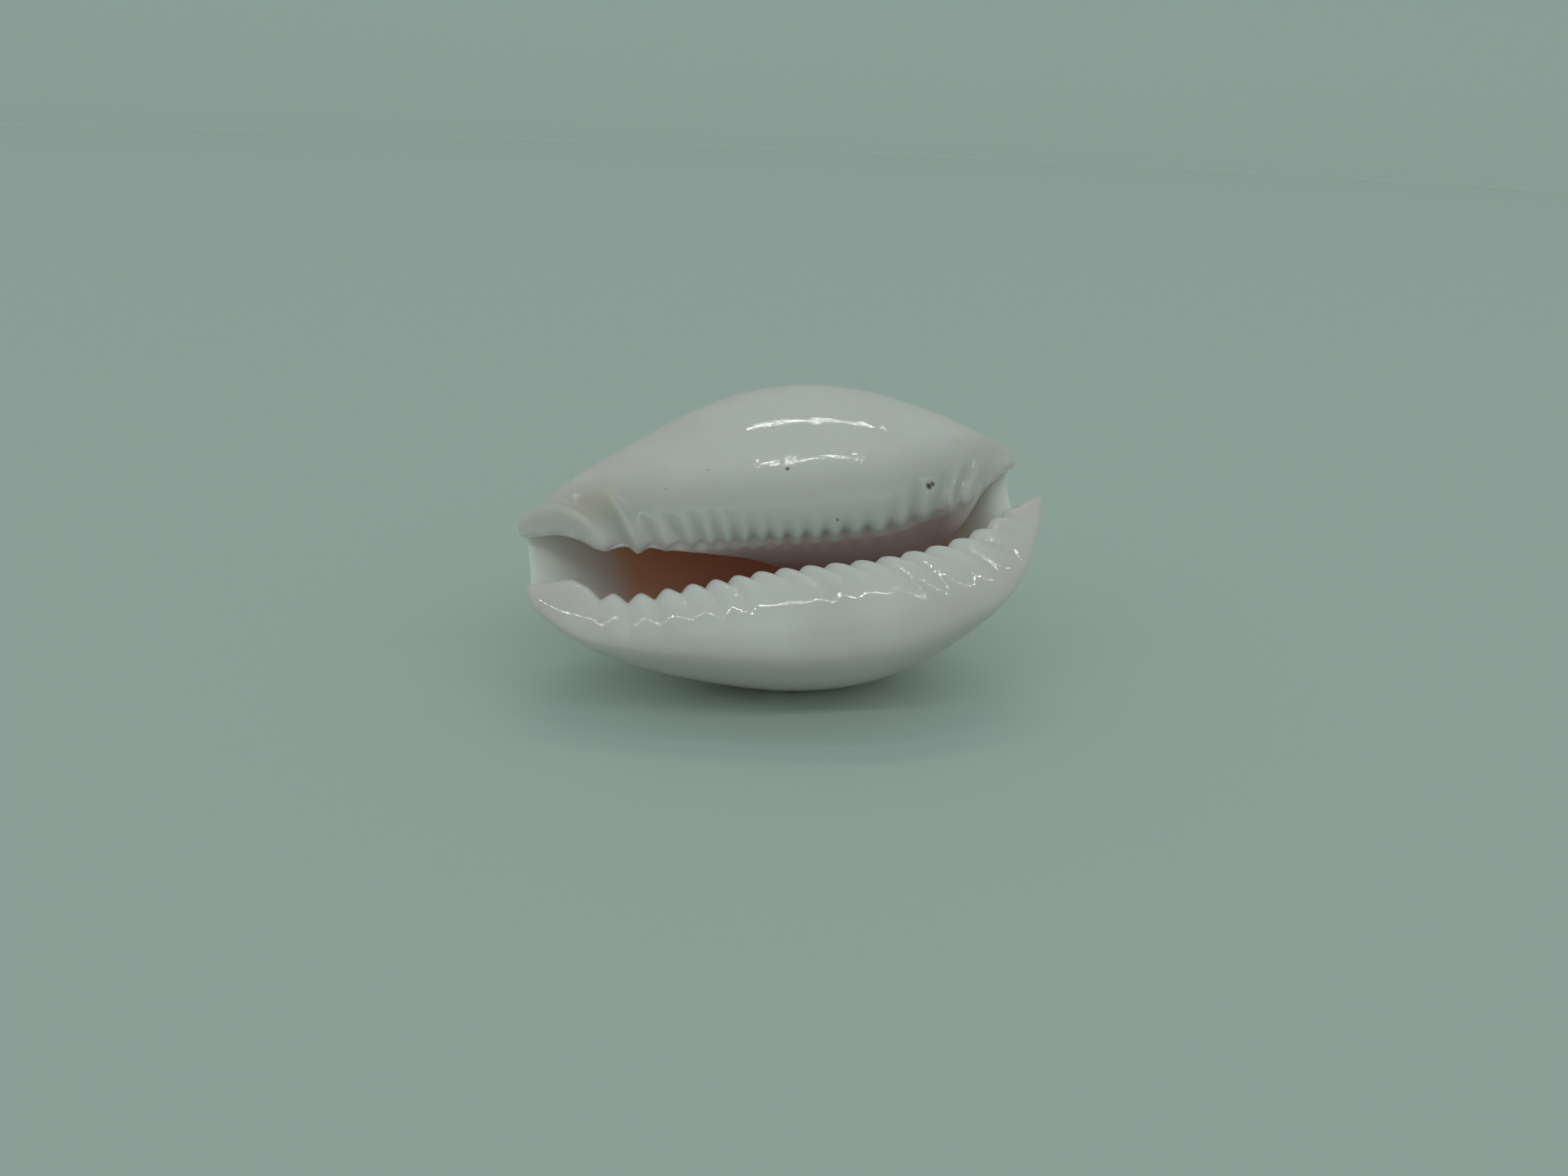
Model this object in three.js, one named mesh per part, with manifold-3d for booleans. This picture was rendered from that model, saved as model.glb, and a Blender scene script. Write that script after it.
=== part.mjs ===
// A cowrie shell lying on its back, made as one closed solid.
//
// Millimetres, +Z up. The shell rests on a small flat on the crown of its back, with its mouth turned up and
// leaning towards -Y. The front end, with the wide canal, points along -X; the back end points along +X.
//
// The shell is drawn in its own axes first, and is then tilted onto its resting spot:
//   x  along the mouth, from the front end to the back end
//   q  across the base, from the outer lip (negative) to the inner, columella side (positive)
//   n  out of the base
//
// Every cross-section is one closed band: out of the mouth over the outer lip, round the back of the shell,
// in over the inner lip, down the inner whorl, and back along the inside of the wall.
import * as THREE from "three";
import { mergeVertices } from "three/addons/utils/BufferGeometryUtils.js";
import Module from "manifold-3d";

const wasm = await Module();
wasm.setup();

// ---- Driving dimensions ----

const SHELL_LENGTH = 35;
const HALF_LENGTH = SHELL_LENGTH / 2;
const LEAN_DEGREES = 38.5; // the base is rolled this far from level, about the long axis
const RISE_DEGREES = 6; // the back end stands this much higher than the front end
const REST_FLAT_DEPTH = 0.4; // how much of the crown is worn flat
const BACK_ROUNDNESS = 2.4; // superellipse power of the back: 2 is an ellipse, more is boxier
const BASE_ROUNDNESS = 2.0;
const CAVITY_ROUNDNESS = 2.4;
const MARGIN_MIDDLE = -1.3; // level of the margin at mid length
const MARGIN_SLOPE = 0.38; // and how much higher it is at the back end
const RIM_ROUNDING = 0.6; // the ends of the wall are rounded over this length

// Profiles along the shell: [x, value] points that a smooth curve runs through.
const LIP_SIDE_WIDTH = [
  [-17.5, 3.2],
  [-15.8, 5.2],
  [-11.4, 7.7],
  [-6.1, 9.2],
  [0, 10.4],
  [6.1, 10.4],
  [11.4, 8.8],
  [15.8, 5.1],
  [17.5, 1.6],
];
const COLUMELLA_SIDE_WIDTH = [
  [-17.5, 2.6],
  [-15.8, 4.4],
  [-11.4, 7.2],
  [-6.1, 9.8],
  [0, 11.4],
  [6.1, 10.6],
  [11.4, 8.1],
  [15.8, 5.2],
  [17.5, 4.2],
];
const BACK_DEPTH = [
  [-17.5, 1.5],
  [-15.8, 2.8],
  [-11.4, 7.2],
  [-6.1, 10.8],
  [0, 12.8],
  [6.1, 12.0],
  [11.4, 8.8],
  [15.8, 2.7],
  [17.5, 2.1],
];
const BASE_RISE = [
  [-17.5, 0.6],
  [-11.4, 1.6],
  [-6.1, 2.5],
  [0, 3.4],
  [6.1, 3.5],
  [11.4, 2.2],
  [17.5, 0.6],
];
const LIP_EDGE = [
  [-17.5, -2.0],
  [-14.8, -2.0],
  [-12.8, -3.3],
  [-10, -3.9],
  [-3, -3.95],
  [4.5, -4.4],
  [9, -3.8],
  [12.4, -2.7],
  [15, -1.2],
  [17.5, -0.3],
];
const COLUMELLA_EDGE = [
  [-17.5, 1.75],
  [-15.3, 1.55],
  [-13.9, 0.9],
  [-12.8, 0.0],
  [-12, -0.4],
  [-10.5, -0.45],
  [-8, -1.0],
  [-3, -1.75],
  [2.5, -2.5],
  [5.5, -2.55],
  [9.5, -1.4],
  [12, -0.6],
  [15.5, 1.1],
  [17.5, 1.8],
];
const LIP_ROLL_RADIUS = [
  [-17.5, 0.45],
  [-15, 0.9],
  [-11, 1.3],
  [0, 1.45],
  [10, 1.3],
  [15, 0.9],
  [17.5, 0.5],
];
const COLUMELLA_ROLL_WIDTH = [
  [-17.5, 1.0],
  [-14, 1.4],
  [-10, 2.6],
  [0, 3.2],
  [8, 3.2],
  [14, 1.8],
  [17.5, 0.8],
];
const COLUMELLA_ROLL_DEPTH = [
  [-17.5, 0.45],
  [-14, 0.7],
  [-10, 1.3],
  [0, 1.7],
  [8, 1.8],
  [14, 1.1],
  [17.5, 0.45],
];
const WHORL_DEPTH = [
  [-17.5, 0.25],
  [-11, 0.2],
  [-8, 0.4],
  [-4, 1.5],
  [-1, 2.6],
  [3, 3.5],
  [8, 4.0],
  [12, 2.6],
  [15, 1.0],
  [17.5, 0.3],
];
const WHORL_BULGE = [
  [-17.5, 0],
  [-3, 0],
  [0, 0.4],
  [3, 0.8],
  [8, 1.1],
  [12, 0.5],
  [15, 0],
  [17.5, 0],
];
const WHORL_HALF_WIDTH = [
  [-17.5, 0.45],
  [-11, 0.8],
  [-6, 1.2],
  [0, 2.2],
  [5, 3.2],
  [9, 3.0],
  [13, 1.6],
  [17.5, 0.45],
];
const WHORL_UNDERSIDE = [
  [-17.5, 0.25],
  [-11, 0.3],
  [-6, 0.6],
  [0, 1.8],
  [5, 2.8],
  [9, 2.8],
  [13, 1.2],
  [17.5, 0.25],
];
const LIP_SIDE_WALL = [
  [-17.5, 0.7],
  [-14, 1.6],
  [-8, 2.6],
  [0, 3.2],
  [8, 3.0],
  [14, 1.6],
  [17.5, 0.6],
];
const COLUMELLA_SIDE_WALL = [
  [-17.5, 0.6],
  [-14, 1.3],
  [0, 1.9],
  [8, 1.9],
  [14, 1.8],
  [17.5, 2.2],
];
const BACK_WALL = [
  [-17.5, 0.6],
  [-14, 0.9],
  [0, 1.4],
  [8, 1.3],
  [14, 1.0],
  [17.5, 0.6],
];
const BASE_WALL = [
  [-17.5, 0.75],
  [-12, 1.5],
  [0, 2.2],
  [8, 2.2],
  [14, 1.4],
  [17.5, 0.75],
];
const LIP_CREST_SHARE = 0.78; // the outer lip's crest is lower than the inner side's by this factor
const CAVITY_CORNER_SHARE = 0.18; // height of the cavity's rounded upper corners, as a share of the depth

// How far the ends reach: [stage, x] points, where the stages count round the outside of the band. 0 is the
// edge of the outer lip, 1 its crest, 2 the margin, 3 the middle of the back, 4 the other margin, 5 the crest
// of the inner lip, 6 its edge and 7 the underside of the inner whorl. The canal floors stop short of the
// lips.
const FRONT_REACH = [
  [0, 17.6],
  [2, 17.6],
  [3, 17.35],
  [4, 17.4],
  [5, 17.75],
  [7, 17.7],
];
const BACK_REACH = [
  [0, 17.8],
  [1, 17.9],
  [2, 17.7],
  [2.5, 17.4],
  [3, 16.4],
  [4, 16.7],
  [4.7, 16.9],
  [6, 15.9],
  [7, 15.6],
];
const REACH_STARTS_AT = 0.7; // share of the half length where the ends begin to differ

// Teeth: [x, number] points that count the teeth along each lip.
const LIP_TEETH = [
  [-12, 0],
  [-7, 3],
  [-2.6, 6],
  [2.2, 9],
  [7.3, 12],
  [12.4, 15],
  [15, 17],
];
const LIP_TOOTH_DEPTH = [
  [-14.2, 0],
  [-12.6, 0.75],
  [-9.5, 0.8],
  [-6, 0.7],
  [12, 0.7],
  [14.5, 0.5],
  [16, 0],
];
// [x, slant] points: the grooves run back by this much for each millimetre out from the mouth
const LIP_TOOTH_SLANT = [
  [-14, -0.2],
  [-8, 0.15],
  [0, 0.6],
  [8, 0.8],
];
const LIP_TOOTH_STRAIGHT = 0.67; // but only after this first straight stretch at the edge
const COLUMELLA_TEETH = [
  [-10, 0],
  [-6.6, 2],
  [-3.1, 5],
  [0.3, 8],
  [4.2, 11],
  [7.5, 13],
  [11, 15],
];
const COLUMELLA_TOOTH_DEPTH = [
  [-10, 0],
  [-8.8, 0.4],
  [9, 0.38],
  [10.3, 0],
];
const COLUMELLA_TOOTH_SLANT = [
  [-11, 0.5],
  [0, 0],
  [11, -0.35],
];

// Folds on the inner side of the base. Each runs along a path of [x, q] points, is as wide as a bell curve of
// this half width, and has [share of the path, height] points; a hollow has a negative height.
const FOLDS = {
  frontRim: {
    path: [[-17.5, 3.2], [-15.7, 3.0], [-14.1, 2.4], [-12.2, 0.4]],
    halfWidth: 0.85,
    height: [[0, 0.25], [0.3, 0.5], [0.8, 0.45], [1, 0.2]],
  },
  frontChannel: {
    path: [[-15.9, 4.3], [-14.5, 3.9], [-13.3, 2.9], [-12.1, 1.4], [-11, -0.6]],
    halfWidth: 0.8,
    height: [[0, 0], [0.4, -0.5], [0.8, -0.6], [1, -0.45]],
  },
  firstRidge: {
    path: [[-11.1, 3.4], [-10.5, 1.1], [-9.95, -0.9]],
    halfWidth: 0.5,
    height: [[0, 0.2], [0.4, 0.6], [1, 0.6]],
  },
  backChannel: {
    path: [[12.1, 1.9], [11.3, 0.4], [10.5, -1.1]],
    halfWidth: 0.5,
    height: [[0, 0], [0.5, -0.3], [1, -0.3]],
  },
  backRim: {
    path: [[14.9, 2.3], [13.2, 1.1], [12.1, -0.3]],
    halfWidth: 0.6,
    height: [[0, 0], [0.4, 0.25], [1, 0.15]],
  },
};

// Mesh resolution.
const STATIONS_PER_TOOTH = 4;
const FIRST_TOOTH_STATION = -14;
const LAST_TOOTH_STATION = 16;
const RIM_STEPS = 3;
const END_STEPS = 5;
const SEGMENTS = { lipRoll: 3, lipBase: 3, back: 5, columellaBase: 4, columellaRoll: 4, whorl: 4 };

// ---- Curves ----

// A smooth curve through points, with no overshoot between them.
function curveThrough(points) {
  const steps = points.slice(1).map(([x, y], i) => (y - points[i][1]) / (x - points[i][0]));
  const slopes = points.map((_, i) => {
    const before = steps[Math.max(i - 1, 0)];
    const after = steps[Math.min(i, steps.length - 1)];
    return before * after > 0 ? (2 * before * after) / (before + after) : 0;
  });
  return (x) => {
    const last = points.length - 2;
    const i = Math.min(Math.max(points.findIndex(([px]) => px > x) - 1, 0), last);
    const k = x >= points[last + 1][0] ? last : i;
    const width = points[k + 1][0] - points[k][0];
    const t = Math.min(Math.max((x - points[k][0]) / width, 0), 1);
    const t2 = t * t;
    const t3 = t2 * t;
    return (
      (2 * t3 - 3 * t2 + 1) * points[k][1] +
      (t3 - 2 * t2 + t) * width * slopes[k] +
      (3 * t2 - 2 * t3) * points[k + 1][1] +
      (t3 - t2) * width * slopes[k + 1]
    );
  };
}

// A fair curve through points, like a thin batten held at each of them: its bend changes without a break.
function fairCurve(points) {
  const count = points.length;
  const gaps = points.slice(1).map(([x], i) => x - points[i][0]);
  const steps = points.slice(1).map(([, y], i) => (y - points[i][1]) / gaps[i]);
  const bends = new Array(count).fill(0);
  const pivots = new Array(count).fill(1);
  const sides = new Array(count).fill(0);
  for (let i = 1; i < count - 1; i++) {
    const factor = i > 1 ? gaps[i - 1] / pivots[i - 1] : 0;
    pivots[i] = 2 * (gaps[i - 1] + gaps[i]) - (i > 1 ? factor * gaps[i - 1] : 0);
    sides[i] = 6 * (steps[i] - steps[i - 1]) - factor * sides[i - 1];
  }
  for (let i = count - 2; i > 0; i--) {
    bends[i] = (sides[i] - gaps[i] * bends[i + 1]) / pivots[i];
  }
  return (x) => {
    const inside = Math.min(Math.max(x, points[0][0]), points[count - 1][0]);
    const next = points.findIndex(([px]) => px > inside);
    const i = next < 0 ? count - 2 : next - 1;
    const a = points[i + 1][0] - inside;
    const b = inside - points[i][0];
    const gap = gaps[i];
    return (
      (bends[i] * a ** 3 + bends[i + 1] * b ** 3) / (6 * gap) +
      (points[i][1] / gap - (bends[i] * gap) / 6) * a +
      (points[i + 1][1] / gap - (bends[i + 1] * gap) / 6) * b
    );
  };
}

// A count along x that keeps its end spacing beyond the points.
function countThrough(points) {
  const inside = curveThrough(points);
  const [first, second] = points;
  const [beforeLast, last] = points.slice(-2);
  const startRate = (second[1] - first[1]) / (second[0] - first[0]);
  const endRate = (last[1] - beforeLast[1]) / (last[0] - beforeLast[0]);
  return (x) => {
    if (x < first[0]) return first[1] + (x - first[0]) * startRate;
    if (x > last[0]) return last[1] + (x - last[0]) * endRate;
    return inside(x);
  };
}

const smoothstep = (t) => {
  const c = Math.min(Math.max(t, 0), 1);
  return c * c * (3 - 2 * c);
};
const mix = (a, b, t) => a + (b - a) * t;
const wave = (turns) => 0.5 + 0.5 * Math.cos(2 * Math.PI * turns);

const lipSideWidth = fairCurve(LIP_SIDE_WIDTH);
const columellaSideWidth = fairCurve(COLUMELLA_SIDE_WIDTH);
const backDepth = fairCurve(BACK_DEPTH);
const baseRise = fairCurve(BASE_RISE);
const frontReach = curveThrough(FRONT_REACH);
const backReach = curveThrough(BACK_REACH);
const lipEdge = curveThrough(LIP_EDGE);
const columellaEdge = curveThrough(COLUMELLA_EDGE);
const lipRollRadius = curveThrough(LIP_ROLL_RADIUS);
const columellaRollWidth = curveThrough(COLUMELLA_ROLL_WIDTH);
const columellaRollDepth = curveThrough(COLUMELLA_ROLL_DEPTH);
const whorlDepth = curveThrough(WHORL_DEPTH);
const whorlBulge = curveThrough(WHORL_BULGE);
const whorlHalfWidth = curveThrough(WHORL_HALF_WIDTH);
const whorlUnderside = curveThrough(WHORL_UNDERSIDE);
const lipSideWall = curveThrough(LIP_SIDE_WALL);
const columellaSideWall = curveThrough(COLUMELLA_SIDE_WALL);
const backWall = curveThrough(BACK_WALL);
const baseWall = curveThrough(BASE_WALL);
const lipTeeth = countThrough(LIP_TEETH);
const lipToothDepth = curveThrough(LIP_TOOTH_DEPTH);
const lipToothSlant = curveThrough(LIP_TOOTH_SLANT);
const columellaTeeth = countThrough(COLUMELLA_TEETH);
const columellaToothDepth = curveThrough(COLUMELLA_TOOTH_DEPTH);
const columellaToothSlant = curveThrough(COLUMELLA_TOOTH_SLANT);

// The level of the margin: the widest place of the section.
function marginLevel(x) {
  return MARGIN_MIDDLE + (MARGIN_SLOPE * x) / HALF_LENGTH;
}

// ---- One cross-section ----

// Points of a quarter superellipse about (cq, cn), from (cq + a, cn) to (cq, cn + b).
function quarter(cq, cn, a, b, power, count, fromTop) {
  const points = [];
  for (let i = 0; i <= count; i++) {
    const angle = (Math.PI / 2) * (fromTop ? 1 - i / count : i / count);
    const q = cq + a * Math.max(Math.cos(angle), 0) ** (2 / power);
    const n = cn + b * Math.max(Math.sin(angle), 0) ** (2 / power);
    points.push([q, n]);
  }
  return points;
}

// Teeth on the outer lip: how much of the roll is cut away at this place.
function lipToothCut(x, fromEdge, weight) {
  const turns = lipTeeth(x - lipToothSlant(x) * Math.max(fromEdge - LIP_TOOTH_STRAIGHT, 0));
  return lipToothDepth(x) * (1 - wave(turns)) * weight;
}

// Teeth on the inner lip: how much of the roll is cut away at this place.
function columellaCut(x, fromEdge, weight) {
  const turns = columellaTeeth(x + columellaToothSlant(x) * fromEdge);
  return columellaToothDepth(x) * (1 - wave(turns)) * weight;
}

// Height of one fold at this place, from the nearest point of its path.
function foldHeight({ path, halfWidth, height }, x, q) {
  let nearest = Infinity;
  let share = 0;
  for (let i = 0; i + 1 < path.length; i++) {
    const [ax, aq] = path[i];
    const [dx, dq] = [path[i + 1][0] - ax, path[i + 1][1] - aq];
    const t = Math.min(Math.max(((x - ax) * dx + (q - aq) * dq) / (dx * dx + dq * dq), 0), 1);
    const distance = Math.hypot(x - ax - t * dx, q - aq - t * dq);
    if (distance < nearest) {
      nearest = distance;
      share = (i + t) / (path.length - 1);
    }
  }
  return curveThrough(height)(share) * Math.exp(-((nearest / halfWidth) ** 2));
}

// Height of all the folds together.
function foldsAt(x, q) {
  return Object.values(FOLDS).reduce((sum, fold) => sum + foldHeight(fold, x, q), 0);
}

// The closed band at one place along the shell, as [q, n, stage] points. The first half of the band is the
// outside, from the edge of the outer lip to the underside of the inner whorl; the second half is the inside.
// Each inside point has the stage of the outside point across the wall from it.
function band(x) {
  const level = marginLevel(x);
  const depth = backDepth(x);
  const rise = baseRise(x);
  const radius = lipRollRadius(x);
  const lipCrestQ = lipEdge(x) - radius;
  const lipCrestN = level + rise * LIP_CREST_SHARE;
  const lipSide = lipSideWidth(x);
  const columellaSide = columellaSideWidth(x);
  const rollWidth = columellaRollWidth(x);
  const rollDepth = columellaRollDepth(x);
  const edgeQ = columellaEdge(x);
  const crestQ = edgeQ + rollWidth;
  const crestN = level + rise;
  const outside = [];
  const inside = [];

  // Outer lip, rolled over the mouth, with its teeth.
  for (let i = 0; i < SEGMENTS.lipRoll; i++) {
    const angle = (Math.PI / 2) * (i / SEGMENTS.lipRoll);
    const r = radius - lipToothCut(x, radius * angle, Math.cos(angle * 0.7));
    const q = lipCrestQ + r * Math.cos(angle);
    const n = lipCrestN - radius + r * Math.sin(angle);
    outside.push([q, n, i / SEGMENTS.lipRoll]);
  }
  // Base on the outer lip's side, from the crest of the lip to the margin.
  quarter(lipCrestQ, level, -(lipSide + lipCrestQ), lipCrestN - level, BASE_ROUNDNESS, SEGMENTS.lipBase, true)
    .slice(0, -1)
    .forEach(([q, n], i) => outside.push([q, n, 1 + i / SEGMENTS.lipBase]));
  // Back of the shell, from margin to margin.
  quarter(0, level, -lipSide, -depth, BACK_ROUNDNESS, SEGMENTS.back, false)
    .slice(0, -1)
    .forEach(([q, n], i) => outside.push([q, n, 2 + i / SEGMENTS.back]));
  quarter(0, level, columellaSide, -depth, BACK_ROUNDNESS, SEGMENTS.back, true)
    .slice(0, -1)
    .forEach(([q, n], i) => outside.push([q, n, 3 + i / SEGMENTS.back]));
  // Base on the inner side, from the margin to its crest.
  quarter(crestQ, level, columellaSide - crestQ, rise, BASE_ROUNDNESS, SEGMENTS.columellaBase, false)
    .slice(0, -1)
    .forEach(([q, n], i) => outside.push([q, n + foldsAt(x, q), 4 + i / SEGMENTS.columellaBase]));
  // Inner lip, rolled down into the mouth, with its teeth.
  for (let i = 0; i < SEGMENTS.columellaRoll; i++) {
    const angle = (Math.PI / 2) * (i / SEGMENTS.columellaRoll);
    const share = i / SEGMENTS.columellaRoll;
    const fromEdge = rollWidth * (1 - Math.sin(angle));
    const raised = foldsAt(x, edgeQ + fromEdge) - columellaCut(x, fromEdge, smoothstep((share - 0.3) / 0.4));
    const q = crestQ - (rollWidth + raised) * Math.sin(angle);
    const n = crestN - rollDepth + (rollDepth + raised) * Math.cos(angle);
    outside.push([q, n, 5 + share]);
  }
  // Inner whorl, seen under the inner lip: down to its widest point and round to its underside.
  const whorlQ = edgeQ - whorlBulge(x) + whorlHalfWidth(x);
  const whorlTop = crestN - rollDepth;
  const whorlN = whorlTop - whorlDepth(x);
  const half = SEGMENTS.whorl / 2;
  for (let i = 0; i <= half; i++) {
    const t = i / half;
    const q = mix(edgeQ, whorlQ - whorlHalfWidth(x), smoothstep(t));
    const raised = i === 0 ? foldsAt(x, edgeQ) - columellaCut(x, 0, 1) : 0;
    outside.push([q - raised, mix(whorlTop, whorlN, t), 6 + t / 2]);
  }
  quarter(whorlQ, whorlN, -whorlHalfWidth(x), -whorlUnderside(x), 2, half, false)
    .slice(1)
    .forEach(([q, n], i) => outside.push([q, n, 6.5 + (i + 1) / (2 * half)]));

  // Inside: under the columella side, from the whorl to the cavity's upper corner.
  const cavityRight = columellaSide - columellaSideWall(x);
  const cavityLeft = lipSide - lipSideWall(x);
  const corner = depth * CAVITY_CORNER_SHARE;
  const underQ = mix(whorlQ, cavityRight, 0.55);
  const underN = crestN - baseWall(x);
  const bottomN = whorlN - whorlUnderside(x);
  const shoulder = SEGMENTS.whorl + SEGMENTS.columellaRoll;
  for (let i = 1; i <= shoulder; i++) {
    const t = i / shoulder;
    inside.push([mix(whorlQ, underQ, t), mix(bottomN, underN, smoothstep(t))]);
  }
  const cornerRight = underN - corner;
  quarter(underQ, cornerRight, cavityRight - underQ, corner, 2, SEGMENTS.columellaBase, true)
    .slice(1)
    .forEach((point) => inside.push(point));
  // Cavity, under the back.
  const floorN = level - depth + backWall(x);
  quarter(0, cornerRight, cavityRight, floorN - cornerRight, CAVITY_ROUNDNESS, SEGMENTS.back, false)
    .slice(1)
    .forEach((point) => inside.push(point));
  const lipUnderN = lipCrestN - 2 * radius;
  const cornerLeft = lipUnderN - corner;
  quarter(0, cornerLeft, -cavityLeft, floorN - cornerLeft, CAVITY_ROUNDNESS, SEGMENTS.back, true)
    .slice(1)
    .forEach((point) => inside.push(point));
  // Underside of the outer lip.
  quarter(lipCrestQ, cornerLeft, -(cavityLeft + lipCrestQ), corner, 2, SEGMENTS.lipBase, false)
    .slice(1)
    .forEach((point) => inside.push(point));
  for (let i = SEGMENTS.lipRoll - 1; i > 0; i--) {
    const angle = (-Math.PI / 2) * (i / SEGMENTS.lipRoll);
    const r = radius - lipToothCut(x, 0, Math.cos(angle));
    const q = lipCrestQ + r * Math.cos(angle);
    inside.push([q, lipCrestN - radius + r * Math.sin(angle)]);
  }
  const size = outside.length + inside.length;
  const across = inside.map(([q, n], i) => [q, n, outside[size - outside.length - i][2]]);
  return [...outside, ...across];
}

// ---- The whole shell ----

// Places along the shell where the band is drawn: four to a tooth, and closer together at the rounded ends.
function stations() {
  const found = [];
  for (let i = 0; i < END_STEPS; i++) {
    found.push({ x: mix(-HALF_LENGTH + RIM_ROUNDING, FIRST_TOOTH_STATION, i / END_STEPS), swell: 1 });
  }
  const count = Math.round(
    (lipTeeth(LAST_TOOTH_STATION) - lipTeeth(FIRST_TOOTH_STATION)) * STATIONS_PER_TOOTH,
  );
  for (let i = 0; i < count; i++) {
    const t = i / count;
    found.push({ x: mix(FIRST_TOOTH_STATION, LAST_TOOTH_STATION, t), swell: 1 });
  }
  found.push({ x: LAST_TOOTH_STATION, swell: 1 });
  found.push({ x: HALF_LENGTH - RIM_ROUNDING, swell: 1 });
  for (let i = 1; i <= RIM_STEPS; i++) {
    const angle = (Math.PI / 2) * (i / RIM_STEPS);
    const x = HALF_LENGTH - RIM_ROUNDING * (1 - Math.sin(angle));
    const swell = Math.cos(angle);
    found.push({ x, swell: i === RIM_STEPS ? 0 : swell });
    found.unshift({ x: -x, swell: i === RIM_STEPS ? 0 : swell });
  }
  return found;
}

// The x of a point of the band: near the ends, each part of the section has its own reach.
function stretched(x, stage) {
  const reach = x < 0 ? frontReach(stage) : backReach(stage);
  const u = Math.abs(x) / HALF_LENGTH;
  const share = smoothstep((u - REACH_STARTS_AT) / (1 - REACH_STARTS_AT));
  return x * mix(1, reach / HALF_LENGTH, share);
}

// Joins the bands into one closed surface. Towards each end the wall thins to a rounded rim.
function shellGeometry() {
  const loops = stations().map(({ x, swell }) => {
    const points = band(x);
    const size = points.length;
    return points.map(([q, n, stage], j) => {
      const [otherQ, otherN] = points[(size - j) % size];
      const midQ = (q + otherQ) / 2;
      const midN = (n + otherN) / 2;
      return new THREE.Vector3(stretched(x, stage), mix(midQ, q, swell), mix(midN, n, swell));
    });
  });
  const size = loops[0].length;
  const positions = loops.flat().flatMap((p) => [p.x, p.y, p.z]);
  const index = [];
  for (let i = 0; i + 1 < loops.length; i++) {
    for (let j = 0; j < size; j++) {
      const a = i * size + j;
      const b = i * size + ((j + 1) % size);
      index.push(a, b, a + size, b, b + size, a + size);
    }
  }
  const geometry = new THREE.BufferGeometry();
  geometry.setAttribute("position", new THREE.Float32BufferAttribute(positions, 3));
  geometry.setIndex(index);
  return mergeVertices(geometry, 1e-3);
}

// Turns the shell from its own axes onto its back: leaning towards -Y, with the back end raised.
function layDown(geometry) {
  const lean = new THREE.Matrix4().makeRotationX(THREE.MathUtils.degToRad(LEAN_DEGREES));
  const rise = new THREE.Matrix4().makeRotationY(THREE.MathUtils.degToRad(-RISE_DEGREES));
  geometry.applyMatrix4(lean);
  geometry.applyMatrix4(rise);
  geometry.computeBoundingBox();
  geometry.translate(0, 0, -geometry.boundingBox.min.z - REST_FLAT_DEPTH);
  return geometry;
}

function toSolid(geometry) {
  const triVerts = new Uint32Array(geometry.index.array).filter((_, i, all) => {
    const start = i - (i % 3);
    const [a, b, c] = [all[start], all[start + 1], all[start + 2]];
    return a !== b && b !== c && a !== c;
  });
  const vertProperties = geometry.attributes.position.array;
  return new wasm.Manifold(new wasm.Mesh({ numProp: 3, vertProperties, triVerts }));
}

function toGeometry(solid) {
  const mesh = solid.getMesh();
  const geometry = new THREE.BufferGeometry();
  geometry.setAttribute("position", new THREE.BufferAttribute(mesh.vertProperties, 3));
  geometry.setIndex(new THREE.BufferAttribute(mesh.triVerts, 1));
  return geometry;
}

// Wears the crown flat where the shell rests, and centres the shell over the origin.
function restingShell() {
  const block = new THREE.BoxGeometry(2 * SHELL_LENGTH, 2 * SHELL_LENGTH, SHELL_LENGTH);
  block.deleteAttribute("normal");
  block.deleteAttribute("uv");
  block.translate(0, 0, -SHELL_LENGTH / 2);
  const worn = toSolid(layDown(shellGeometry())).subtract(toSolid(mergeVertices(block)));
  const geometry = toGeometry(worn);
  geometry.computeBoundingBox();
  const centre = geometry.boundingBox.getCenter(new THREE.Vector3());
  geometry.translate(-centre.x, -centre.y, 0);
  geometry.computeVertexNormals();
  return geometry;
}

const enamel = new THREE.MeshStandardMaterial({ color: 0xe9e2e0, roughness: 0.22, metalness: 0 });
const shell = new THREE.Mesh(restingShell(), enamel);
shell.name = "shell";

const cowrie = new THREE.Group();
cowrie.add(shell);
export default cowrie;
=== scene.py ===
# %% [markdown]
# # A cowrie shell on its back
#
# This notebook builds one glossy cowrie shell that lies on its crown with the toothed mouth turned up. A
# real cowrie grows as a tube that wraps over itself and then rolls both lips inwards. It could be sculpted
# by hand, but its form follows a few smooth profiles along its length, so here those profiles drive
# everything: the shell is one closed band, swept from the front end to the back end. The teeth and folds
# are then pushed into it by Geometry Nodes, and one enamel material paints the white base, the spotted back
# and the brown inside.

# %% Load the frame
import math

import bpy
import numpy as np
from mathutils import Matrix


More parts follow.
